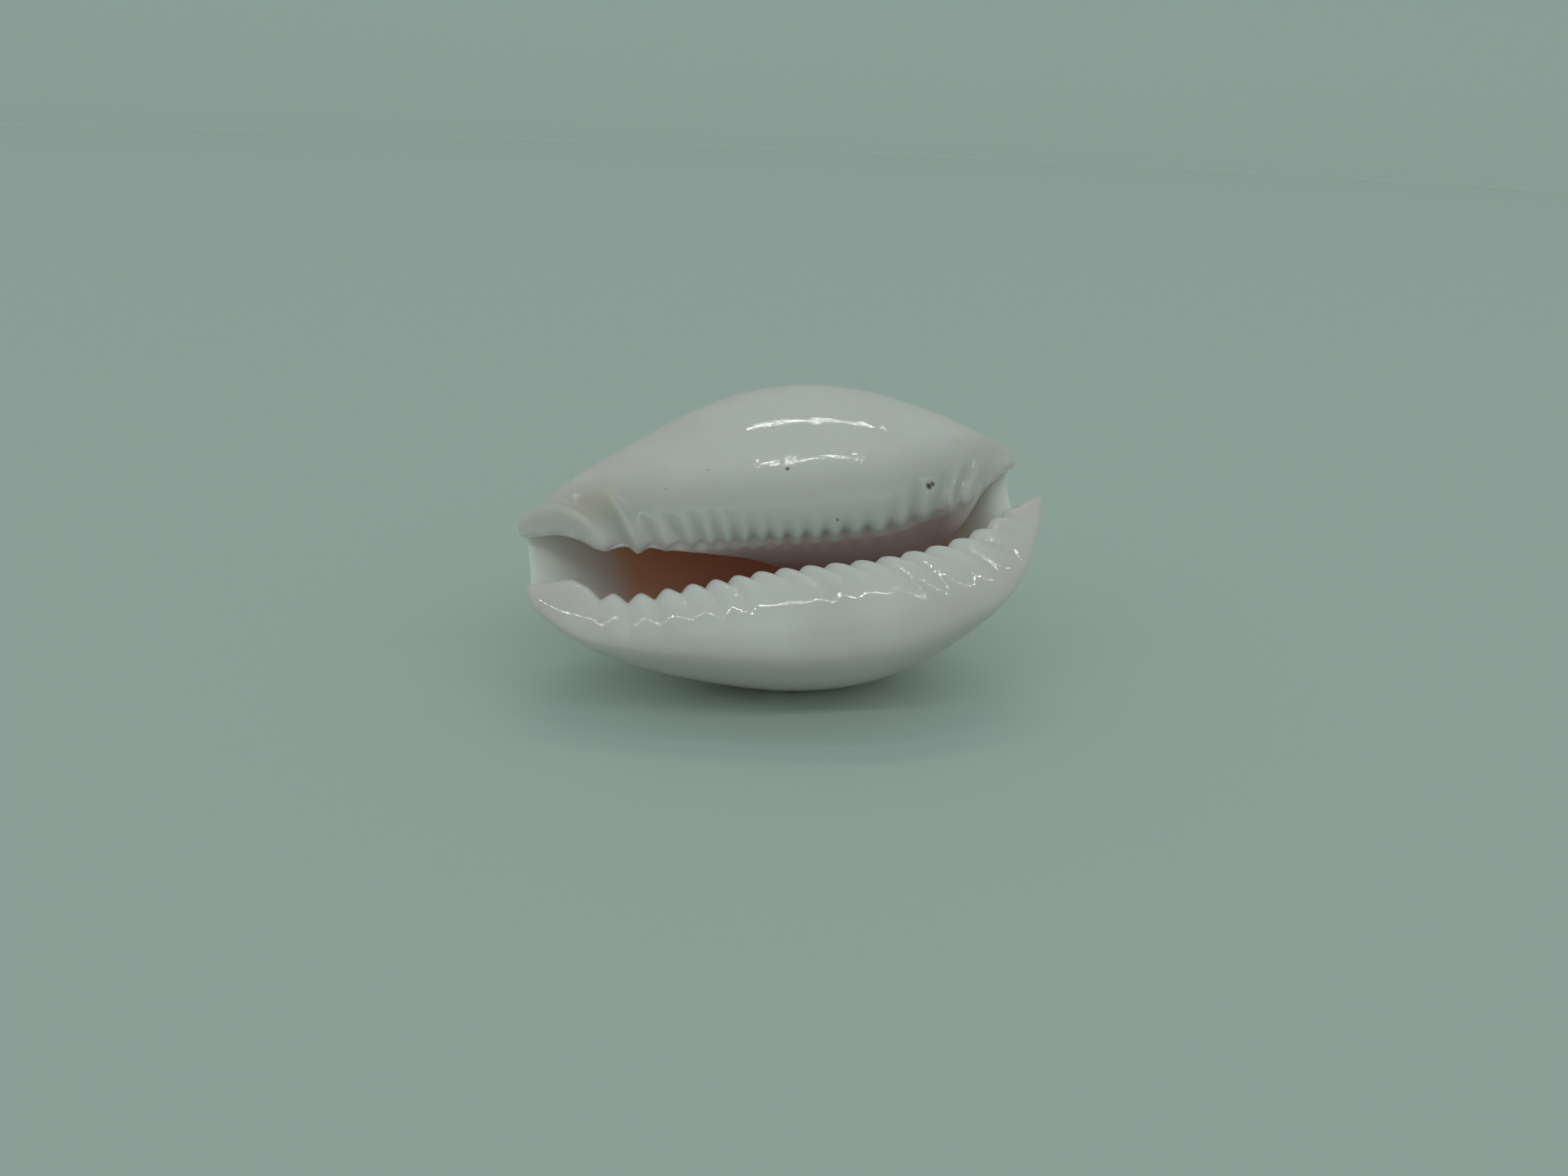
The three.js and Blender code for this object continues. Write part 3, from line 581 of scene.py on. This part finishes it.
# %% Adding nodes
def add(tree, kind, inputs=None, **options):
    """Adds a node. An input is given by its name or number, and is a value or another node's output."""
    made = tree.nodes.new(kind)
    made.location = 230 * (len(tree.nodes) % 8), -280 * (len(tree.nodes) // 8)
    for name, value in options.items():
        setattr(made, name, value)
    for key, value in (inputs or {}).items():
        if isinstance(value, bpy.types.NodeSocket):
            tree.links.new(value, made.inputs[key])
        else:
            made.inputs[key].default_value = value
    return made


def maths(tree, operation, first, second=0.0, third=0.0):
    """One sum, such as MULTIPLY or COSINE."""
    return add(tree, "ShaderNodeMath", {0: first, 1: second, 2: third}, operation=operation).outputs[0]


def vector_maths(tree, operation, first, second):
    """One sum on places or directions, such as SUBTRACT or DOT_PRODUCT."""
    return add(tree, "ShaderNodeVectorMath", {0: first, 1: second}, operation=operation)


def ramp_between(tree, value, low, high, start=0.0, end=1.0):
    """Goes softly from start to end while the value goes from low to high."""
    inputs = {"Value": value, "From Min": low, "From Max": high, "To Min": start, "To Max": end}
    return add(tree, "ShaderNodeMapRange", inputs, interpolation_type="SMOOTHSTEP").outputs[0]


def new_tree(name, sockets):
    """A Geometry Nodes tree with named inputs, each given as (name, socket type, value)."""
    tree = bpy.data.node_groups.new(name, "GeometryNodeTree")
    tree.interface.new_socket("Geometry", in_out="INPUT", socket_type="NodeSocketGeometry")
    for label, kind, value in sockets:
        socket = tree.interface.new_socket(label, in_out="INPUT", socket_type=kind)
        if value is not None:
            socket.default_value = value
    tree.interface.new_socket("Material", in_out="INPUT", socket_type="NodeSocketMaterial")
    tree.interface.new_socket("Geometry", in_out="OUTPUT", socket_type="NodeSocketGeometry")
    return tree, add(tree, "NodeGroupInput").outputs


def kept(tree, name, kind="FLOAT"):
    """Reads an attribute that was stored on the mesh, inside a Geometry Nodes tree."""
    return add(tree, "GeometryNodeInputNamedAttribute", {"Name": name}, data_type=kind).outputs[0]


def finish_tree(tree, given, height):
    """Moves each point along its way out by the height in millimetres, and closes the tree."""
    way_out = kept(tree, "way out", "FLOAT_VECTOR")
    metres = maths(tree, "MULTIPLY", height, MM)
    offset = add(tree, "ShaderNodeVectorMath", {0: way_out, "Scale": metres}, operation="SCALE").outputs[0]
    moved = add(tree, "GeometryNodeSetPosition", {"Geometry": given["Geometry"], "Offset": offset}).outputs[0]
    realized = add(tree, "GeometryNodeRealizeInstances", {"Geometry": moved}).outputs[0]
    glazed = {"Geometry": realized, "Material": given["Material"]}
    coated = add(tree, "GeometryNodeSetMaterial", glazed).outputs[0]
    add(tree, "NodeGroupOutput", {"Geometry": coated})
    print(tree.name, "has", len(tree.nodes), "nodes")


# %% [markdown]
# ## Teeth along a lip
#
# A cowrie's teeth are ridges of enamel that run over each lip into the mouth. They could be modelled one by
# one, but they repeat, so a tree reads the lip's tooth counter and sinks a groove half way between each two
# counts. Plain waves would give grooves as broad as the ridges. Mixing in a pointed wave makes the grooves
# narrower.


# %% The tree for teeth
def teeth_tree():
    tree, given = new_tree(
        "teeth along a lip",
        [
            ("Counter", "NodeSocketString", ""),
            ("Groove Depth", "NodeSocketString", ""),
            ("Sharpness", "NodeSocketFloat", 0.4),
        ],
    )
    turns = kept(tree, given["Counter"])
    deep = kept(tree, given["Groove Depth"])
    round_wave = maths(tree, "COSINE", maths(tree, "MULTIPLY", turns, 2 * math.pi))
    round_cut = maths(tree, "MULTIPLY_ADD", round_wave, -0.5, 0.5)
    pointed_wave = maths(tree, "ABSOLUTE", maths(tree, "COSINE", maths(tree, "MULTIPLY", turns, math.pi)))
    pointed_cut = maths(tree, "SUBTRACT", 1.0, pointed_wave)
    difference = maths(tree, "SUBTRACT", pointed_cut, round_cut)
    cut = maths(tree, "MULTIPLY_ADD", difference, given["Sharpness"], round_cut)
    finish_tree(tree, given, maths(tree, "MULTIPLY", maths(tree, "MULTIPLY", cut, deep), -1.0))
    return tree


teeth = teeth_tree()

# %% [markdown]
# ## Folds along a path
#
# Besides the teeth, the base has a few single folds: the rim and the channel of the front canal, the strong
# first ridge, and at the back end two channels, a ridge, a rim and one small pit. Each is a bell-shaped
# swelling or hollow along a short curved path, so one tree makes them all. It draws the path as a Bezier
# curve on the flat plan of the base, and measures how far each point's place on that plan is from it.


# %% The tree for folds
def fold_tree():
    tree, given = new_tree(
        "fold along a path",
        [
            ("Start", "NodeSocketVector", None),
            ("Bend", "NodeSocketVector", None),
            ("End", "NodeSocketVector", None),
            ("Half Width", "NodeSocketFloat", 0.5),
            ("Start Height", "NodeSocketFloat", 0.0),
            ("Middle Height", "NodeSocketFloat", 0.3),
            ("End Height", "NodeSocketFloat", 0.3),
        ],
    )
    place = kept(tree, "place on base", "FLOAT_VECTOR")
    weight = kept(tree, "fold weight")
    ends = {"Resolution": 32, "Start": given["Start"], "Middle": given["Bend"], "End": given["End"]}
    path = add(tree, "GeometryNodeCurveQuadraticBezier", ends).outputs[0]
    line = add(tree, "GeometryNodeCurveToMesh", {"Curve": path}).outputs[0]
    near = {0: line, "Sample Position": place}
    distance = add(tree, "GeometryNodeProximity", near, target_element="EDGES").outputs["Distance"]
    widths = maths(tree, "DIVIDE", distance, given["Half Width"])
    bell = maths(tree, "EXPONENT", maths(tree, "MULTIPLY", maths(tree, "POWER", widths, 2.0), -1.0))
    ahead = vector_maths(tree, "SUBTRACT", given["End"], given["Start"]).outputs[0]
    gone = vector_maths(tree, "SUBTRACT", place, given["Start"]).outputs[0]
    run = vector_maths(tree, "DOT_PRODUCT", gone, ahead).outputs["Value"]
    full = vector_maths(tree, "DOT_PRODUCT", ahead, ahead).outputs["Value"]
    share = maths(tree, "DIVIDE", run, full)
    first = ramp_between(tree, share, 0.0, 0.5, given["Start Height"], given["Middle Height"])
    more = maths(tree, "SUBTRACT", given["End Height"], given["Middle Height"])
    height = maths(tree, "ADD", first, ramp_between(tree, share, 0.5, 1.0, 0.0, more))
    finish_tree(tree, given, maths(tree, "MULTIPLY", maths(tree, "MULTIPLY", height, bell), weight))
    return tree


fold = fold_tree()

# %% [markdown]
# ## The enamel
#
# A living cowrie's mantle lays down a hard glaze in layers. The base is white, with a breath of lilac at
# its margins. The back is cream under round brown spots of several ages: old ones lie deep and look veiled,
# young ones are crisp. Inside the mouth the glaze thins and a brown layer shows, and just past the inner
# lip, under its teeth, the mauve is partly painted shade. One material paints them all from the distances
# stored on the mesh, and three sizes of 3-D cells give the spots, which need no unwrapping.

# %% Colours of the enamel, as linear light
WHITE = (0.80, 0.79, 0.77, 1)
LILAC_WHITE = (0.74, 0.66, 0.67, 1)
LILAC_GREY = (0.64, 0.575, 0.585, 1)
LAVENDER = (0.34, 0.29, 0.30, 1)
CREAM = (0.67, 0.63, 0.50, 1)
GOLDEN = (0.36, 0.18, 0.045, 1)
BROWN = (0.22, 0.11, 0.034, 1)
DARK_BROWN = (0.13, 0.055, 0.018, 1)
GREY_WHITE = (0.55, 0.56, 0.53, 1)
MOUTH_LILAC = (0.86, 0.76, 0.77, 1)
# Mauve, partly the mouth's own colour and partly painted shade under the inner lip's teeth.
MOUTH_MAUVE_AND_SHADE = (0.49, 0.36, 0.355, 1)
MOUTH_ORANGE = (0.90, 0.57, 0.41, 1)
MOUTH_DEEP = (0.86, 0.53, 0.43, 1)
CANAL_CREAM = (0.93, 0.91, 0.87, 1)
DOT_BROWN = (0.22, 0.08, 0.015, 1)
# Near-black for the pits: partly their own dark, partly painted shade in the hollows.
PIT_DARK_AND_SHADE = (0.05, 0.025, 0.018, 1)
STAIN = (0.62, 0.52, 0.30, 1)

enamel = bpy.data.materials.new("cowrie enamel")
enamel.use_nodes = True
paint = enamel.node_tree
shader = paint.nodes["Principled BSDF"]
object_place = add(paint, "ShaderNodeTexCoord").outputs["Object"]


def stored(name):
    """Reads one of the numbers kept on the mesh."""
    return add(paint, "ShaderNodeAttribute", attribute_type="GEOMETRY", attribute_name=name).outputs["Fac"]


def noise(scale, detail=2.0, roughness=0.5):
    """Soft random values about 0.5. The scale is in lumps per metre."""
    inputs = {"Vector": object_place, "Scale": scale, "Detail": detail, "Roughness": roughness}
    return add(paint, "ShaderNodeTexNoise", inputs).outputs["Fac"]


def blend(share, first, second):
    """Mixes two colours."""
    made = add(paint, "ShaderNodeMix", {0: share, 6: first, 7: second}, data_type="RGBA")
    return made.outputs[2]


below = stored("below margin")
inside = stored("inside mouth")
along_shell = stored("along")
across_base = stored("across")
print(len(paint.nodes), "nodes so far in", enamel.name)

# %% Base and margins
MARGIN_WAVER = 2.4  # the edges between the colours wander by this much, in millimetres
wavering = maths(paint, "MULTIPLY_ADD", maths(paint, "SUBTRACT", noise(260), 0.5), MARGIN_WAVER, below)
colour = blend(ramp_between(paint, noise(90), 0.42, 0.68, 0.0, 0.8), WHITE, LILAC_WHITE)
# Over the last 6 mm of the base before the inner lip's edge, the white turns a darker grey.
colour = blend(ramp_between(paint, stored("from inner lip"), 6.0, 1.5), colour, GREY_WHITE)
colour = blend(ramp_between(paint, wavering, -2.2, 0.2), colour, LILAC_WHITE)
colour = blend(ramp_between(paint, wavering, 0.1, 1.6), colour, LILAC_GREY)

# %% [markdown]
# ## Spots
#
# Each spot is a small ball of colour in space, cut by the surface, so the spots differ in size by
# themselves. A cell texture gives each ball its centre and a random number, which sets its radius. The
# spots crowd together towards the front end and over the crown.


# %% Spots of three sizes
SPOT_WARP_SCALE = 400  # lumps per metre
SPOT_WARP = 0.7  # the spots' outlines are pushed about by up to half of this, in millimetres
SPOT_SIZES = [  # cell, smallest and largest radius in millimetres, and how strong the spots are
    (1.4, 0.22, 0.48, 0.55),
    (2.1, 0.38, 0.80, 0.85),
    (3.3, 0.60, 1.35, 1.00),
]
warp = {"Vector": object_place, "Scale": SPOT_WARP_SCALE, "Detail": 1.0}
lumps = add(paint, "ShaderNodeTexNoise", warp).outputs["Color"]
lumps = vector_maths(paint, "SUBTRACT", lumps, (0.5, 0.5, 0.5)).outputs[0]
lumps = add(paint, "ShaderNodeVectorMath", {0: lumps, "Scale": SPOT_WARP * MM}, operation="SCALE").outputs[0]
uneven_place = vector_maths(paint, "ADD", object_place, lumps).outputs[0]


def spots(cell, smallest, largest, extra):
    """How far inside a spot each place is: below 0 outside, 1 in the middle. Also its random number."""
    settings = {"Vector": uneven_place, "Scale": 1000 / cell, "Randomness": 0.8}
    cells = add(paint, "ShaderNodeTexVoronoi", settings)
    parts = add(paint, "ShaderNodeSeparateColor", {"Color": cells.outputs["Color"]}).outputs
    radius = maths(paint, "MULTIPLY_ADD", parts[0], (largest - smallest) / cell, smallest / cell)
    radius = maths(paint, "MULTIPLY", radius, extra)
    ratio = maths(paint, "DIVIDE", cells.outputs["Distance"], radius)
    return maths(paint, "SUBTRACT", 1.0, ratio), parts[1]


towards_front = ramp_between(paint, along_shell, 6.0, -14.0, 0.9, 1.3)
towards_crown = ramp_between(paint, below, 3.0, 10.0, 0.85, 1.2)
crowding = maths(paint, "MULTIPLY", towards_front, towards_crown)
back_colour = blend(ramp_between(paint, noise(180), 0.35, 0.7, 0.0, 0.6), CREAM, LILAC_GREY)
for cell, smallest, largest, young in SPOT_SIZES:
    depth_in, chance = spots(cell, smallest, largest, crowding)
    veil = blend(ramp_between(paint, chance, 0.84, 0.94), BROWN, LAVENDER)
    spot_colour = blend(ramp_between(paint, depth_in, 0.15, 0.55), GOLDEN, veil)
    back_colour = blend(ramp_between(paint, depth_in, -0.03, 0.22, 0.0, young), back_colour, spot_colour)
print(len(SPOT_SIZES), "sizes of spots")

# %% Where the spotted back begins
BACK_WAVER = 1.6
past_band = maths(paint, "SUBTRACT", below, stored("plain band"))
edge_of_back = maths(paint, "MULTIPLY_ADD", maths(paint, "SUBTRACT", noise(420), 0.5), BACK_WAVER, past_band)
near_edge = ramp_between(paint, edge_of_back, -1.0, 0.4)
blotches = maths(paint, "MULTIPLY", near_edge, ramp_between(paint, noise(300), 0.45, 0.62))
colour = blend(blotches, colour, LAVENDER)
colour = blend(ramp_between(paint, edge_of_back, 0.1, 0.7), colour, back_colour)

# %% The inside of the mouth
deepening = maths(paint, "MULTIPLY", inside, maths(paint, "ADD", noise(350), 0.5))
mouth_far = blend(ramp_between(paint, along_shell, -4.0, 3.0), MOUTH_ORANGE, MOUTH_DEEP)
# Just inside the lips the colour goes from pale lilac at the front to mauve towards the back; the mauve is
# partly painted shade under the inner lip's teeth.
mouth_near_and_shade = blend(ramp_between(paint, along_shell, -9.0, 2.0), MOUTH_LILAC, MOUTH_MAUVE_AND_SHADE)
mouth = blend(ramp_between(paint, deepening, 2.4, 5.0), mouth_near_and_shade, mouth_far)
unsteady = maths(paint, "SUBTRACT", noise(220), 0.5)
floor_share = maths(paint, "MULTIPLY_ADD", unsteady, 0.3, stored("canal floor"))
mouth = blend(ramp_between(paint, floor_share, 0.85, 1.25), MOUTH_LILAC, mouth)
mouth = blend(ramp_between(paint, floor_share, 0.5, 0.95), CANAL_CREAM, mouth)
# The mouth's colour starts right at the lips' edges, so under the inner lip's teeth the painted shade begins
# at once.
colour = blend(ramp_between(paint, deepening, 0.0, 0.7), colour, mouth)

# %% [markdown]
# ## Small marks
#
# This shell has a few marks of wear on its base: a brown dot, a dark pit beside the inner lip, some specks
# and a yellow stain. The pits' near-black is partly their own dark and partly painted shade in the hollows.
# Each is a soft disc on the plan of the base, given by its place and radius in millimetres.

# %% Marks on the base
MARKS = [  # place along and across the base, radius, colour and strength
    (0.35, 2.28, 0.15, DOT_BROWN, 1.0),
    # The pits: their near-black is partly painted shade in the hollows.
    (9.68, 0.14, 0.24, PIT_DARK_AND_SHADE, 0.95),
    (9.98, 0.30, 0.17, PIT_DARK_AND_SHADE, 0.85),
    (2.96, -1.84, 0.11, PIT_DARK_AND_SHADE, 0.7),
    (-4.81, 3.46, 0.08, DARK_BROWN, 0.6),
    (-7.75, 2.70, 0.08, DARK_BROWN, 0.6),
    (12.7, 3.83, 0.45, STAIN, 0.22),
    (-12.5, 3.2, 2.00, STAIN, 0.32),
]
plan = add(paint, "ShaderNodeCombineXYZ", {0: along_shell, 1: across_base}).outputs[0]
for x, q, radius, mark_colour, strength in MARKS:
    away = vector_maths(paint, "DISTANCE", plan, (x, q, 0)).outputs["Value"]
    colour = blend(ramp_between(paint, away, radius * 1.3, radius * 0.3, 0.0, strength), colour, mark_colour)
paint.links.new(colour, shader.inputs["Base Color"])
print(len(MARKS), "marks;", len(paint.nodes), "nodes in all")

# %% [markdown]
# ## Gloss
#
# The glaze is glass-smooth but faintly uneven, so the lamps' reflections break up into glints. Two sizes of
# ripple do that through the bump. Along the middle of the inner lip, just outside its teeth, the glaze is a
# little worn and duller, so no lamp is mirrored sharply there.

# %% Ripples, scuffs and depth
LONG_RIPPLES = 700  # lumps per metre
LONG_RIPPLE_HEIGHT = 0.018  # in millimetres, as is the next
FINE_RIPPLES = 4000
FINE_RIPPLE_HEIGHT = 0.0042
WORN_ROUGHNESS = 0.28
long_ripples = maths(paint, "MULTIPLY", noise(LONG_RIPPLES, 1.0), LONG_RIPPLE_HEIGHT)
ripples = maths(paint, "MULTIPLY_ADD", noise(FINE_RIPPLES, 1.0), FINE_RIPPLE_HEIGHT, long_ripples)
scuffs = ramp_between(paint, noise(2600, 2.0), 0.4, 0.7, 0.015, 0.05)
near_teeth = ramp_between(paint, stored("from inner lip"), 3.8, 2.7)
middle_part = ramp_between(paint, maths(paint, "ABSOLUTE", along_shell), 10.5, 8.5)
dullness = maths(paint, "MULTIPLY", near_teeth, middle_part)
roughness = maths(paint, "MULTIPLY_ADD", dullness, WORN_ROUGHNESS, scuffs)
paint.links.new(roughness, shader.inputs["Roughness"])
bump = add(paint, "ShaderNodeBump", {"Strength": 1.0, "Distance": MM, "Height": ripples})
paint.links.new(bump.outputs[0], shader.inputs["Normal"])
shader.inputs["IOR"].default_value = 1.5
shader.inputs["Subsurface Weight"].default_value = 0.45
shader.inputs["Subsurface Radius"].default_value = (1.0, 0.7, 0.5)
shader.inputs["Subsurface Scale"].default_value = 0.002
print("The long ripples are about", round(1000 / LONG_RIPPLES, 1), "mm apart")


# %% Cut the teeth and raise the folds
def apply_tree(tree, values):
    """Puts the tree on the shell with these inputs."""
    modifier = cowrie.modifiers.new(tree.name, "NODES")
    modifier.node_group = tree
    sockets = {item.name: item.identifier for item in tree.interface.items_tree if item.in_out == "INPUT"}
    for name, value in {**values, "Material": enamel}.items():
        modifier[sockets[name]] = value


apply_tree(teeth, {"Counter": "lip count", "Groove Depth": "lip groove", "Sharpness": 0.85})
apply_tree(teeth, {"Counter": "inner count", "Groove Depth": "inner groove", "Sharpness": 0.1})
FOLDS = {
    "front rim": ((-17.5, 3.2), (-13.6, 3.2), (-12.2, 0.4), 0.8, (0.25, 0.55, 0.25)),
    "front channel": ((-15.9, 4.3), (-13.0, 3.9), (-11.0, -0.6), 0.75, (-0.15, -0.8, -0.6)),
    "first ridge": ((-11.7, 3.5), (-11.0, 1.4), (-10.0, -0.9), 0.42, (0.25, 0.7, 0.6)),
    "back channel": ((11.5, 1.6), (10.8, 0.4), (10.3, -0.9), 0.4, (0.0, -0.25, -0.3)),
    "back ridge": ((12.6, 2.3), (11.7, 0.9), (11.1, -0.6), 0.35, (0.05, 0.25, 0.25)),
    "last channel": ((13.4, 2.3), (12.4, 1.0), (11.8, -0.4), 0.35, (0.0, -0.2, -0.25)),
    "back rim": ((14.9, 2.5), (13.3, 1.4), (12.4, -0.2), 0.5, (0.1, 0.32, 0.25)),
    "pit": ((9.65, 0.12), (9.85, 0.3), (10.0, 0.25), 0.2, (-0.14, -0.16, -0.12)),
}
for name, (start, bend, end, half_width, heights) in FOLDS.items():
    values = {"Start": (*start, 0.0), "Bend": (*bend, 0.0), "End": (*end, 0.0), "Half Width": half_width}
    values.update(zip(("Start Height", "Middle Height", "End Height"), heights))
    apply_tree(fold, values)
print(len(cowrie.modifiers), "steps on the shell")

# %% Make the shell a plain mesh
evaluated = cowrie.evaluated_get(bpy.context.evaluated_depsgraph_get())
plain = bpy.data.meshes.new_from_object(evaluated)
cowrie.modifiers.clear()
cowrie.data = plain
for name in (
    "way out", "place on base", "lip groove", "lip count", "inner groove", "inner count", "fold weight",
):
    plain.attributes.remove(plain.attributes[name])
print("The shell has", len(plain.vertices), "vertices and", len(plain.materials), "material")

# %% Put it in the frame
cowrie.name = "cowrie_shell"
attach(cowrie, "root")
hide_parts("shell")

# %% [markdown]
# ## Floor, lamps and camera
#
# The shell lies on a pale grey-green card that curves up all round. Three long tube lamps give the streaks
# that run along the glaze, a wide dim window stands in front, and a soft even sky fills the shadows. The
# lamps are far away, so that they light the card evenly.

# %% The floor
FLOOR_RADIUS = 1.0
SWEEP_RADIUS = 0.6  # past the flat part the card curves up all round, so that no edge shows
SWEEP_ANGLE = math.radians(60)
SWEEP_RINGS = 14
FLOOR_SIDES = 96
CARD_COLOUR = (0.57, 0.67, 0.63, 1)
sweep = np.linspace(0, SWEEP_ANGLE, SWEEP_RINGS)
turns = 2 * math.pi * np.arange(FLOOR_SIDES) / FLOOR_SIDES
ring = np.stack([np.cos(turns), np.sin(turns), np.zeros(FLOOR_SIDES)], -1)
rings = []
for tilt in sweep:
    lift = np.array([0, 0, SWEEP_RADIUS * (1 - math.cos(tilt))])
    rings.append(ring * (FLOOR_RADIUS + SWEEP_RADIUS * math.sin(tilt)) + lift)
ids = np.arange(len(rings) * FLOOR_SIDES).reshape(len(rings), FLOOR_SIDES)
beside = np.roll(ids, -1, axis=1)
rising_faces = np.stack([ids[:-1], beside[:-1], beside[1:], ids[1:]], -1).reshape(-1, 4)
card_faces = [ids[0].tolist()] + rising_faces.tolist()
floor_mesh = bpy.data.meshes.new("table top")
floor_mesh.from_pydata(np.concatenate(rings), [], card_faces)
floor_mesh.polygons.foreach_set("use_smooth", [False] + [True] * (len(card_faces) - 1))
floor = bpy.data.objects.new("table_top", floor_mesh)
bpy.context.scene.collection.objects.link(floor)
card = bpy.data.materials.new("pale card")
card.use_nodes = True
card_shader = card.node_tree.nodes["Principled BSDF"]
card_shader.inputs["Base Color"].default_value = CARD_COLOUR
card_shader.inputs["Roughness"].default_value = 0.7
floor_mesh.materials.append(card)
print("The floor is", 2 * FLOOR_RADIUS, "m wide before it curves up")

# %% The sky
SKY_COLOUR = (0.82, 1.0, 0.95, 1)
SKY_STRENGTH = 0.34
world = bpy.data.worlds.new("soft room")
world.use_nodes = True
world.node_tree.nodes["Background"].inputs["Color"].default_value = SKY_COLOUR
world.node_tree.nodes["Background"].inputs["Strength"].default_value = SKY_STRENGTH
bpy.context.scene.world = world
bpy.context.scene.view_settings.view_transform = "Standard"
print("The sky's strength is", SKY_STRENGTH)

# %% Lamps
LAMP_HEIGHT = 4.0  # in metres
LAMP_COLOUR = (0.97, 1.0, 0.95)
LAMPS = {  # where it starts, ends and lies in y, and its thickness, all over its height; then its glow
    "tube behind": (-0.2, 0.4, 0.36, 0.006, 38),
    "tube overhead": (-0.23, 0.23, 0.04, 0.004, 45),
    "tube in front": (-1.7, 1.2, -0.65, 0.009, 36),
    "window in front": (-0.8, 0.8, -1.6, 0.8, 0.30),
}


def lamp_above(name, slope_from, slope_to, slope_y, thickness, glow):
    """An oblong lamp. The slopes are sideways distance over height, so they set where it is mirrored."""
    length = (slope_to - slope_from) * LAMP_HEIGHT
    width = thickness * LAMP_HEIGHT
    light = bpy.data.lights.new(name, "AREA")
    light.shape = "RECTANGLE"
    light.size = length
    light.size_y = width
    light.energy = glow * math.pi * length * width
    light.color = LAMP_COLOUR
    lamp = bpy.data.objects.new(name, light)
    lamp.location = ((slope_from + slope_to) / 2 * LAMP_HEIGHT, slope_y * LAMP_HEIGHT, LAMP_HEIGHT)
    lamp.rotation_euler = (math.atan(-slope_y), 0, 0)
    bpy.context.scene.collection.objects.link(lamp)
    print(name, "is", round(length, 2), "m long and", round(width, 2), "m wide")


for name, settings in LAMPS.items():
    lamp_above(name, *settings)

# %% The camera
CAMERA_PLACE = (-0.013836, -0.075462, 0.03854)
CAMERA_LENS = 26.77
CAMERA_TURN = math.radians(-10.72)  # about the upright axis
CAMERA_PITCH = math.radians(67.45)  # from straight down
CAMERA_ROLL = math.radians(2.49)
camera_data = bpy.data.cameras.new("camera")
camera_data.sensor_width = 36
camera_data.lens = CAMERA_LENS
camera_data.clip_start = 0.001
camera = bpy.data.objects.new("camera", camera_data)
turn_aside = Matrix.Rotation(CAMERA_TURN, 4, "Z")
look_down = Matrix.Rotation(CAMERA_PITCH, 4, "X")
tip = Matrix.Rotation(CAMERA_ROLL, 4, "Z")
camera.matrix_world = Matrix.Translation(CAMERA_PLACE) @ turn_aside @ look_down @ tip
bpy.context.scene.collection.objects.link(camera)
bpy.context.scene.camera = camera
print("The camera is", round(camera.location.length / MM), "mm from the shell's foot")
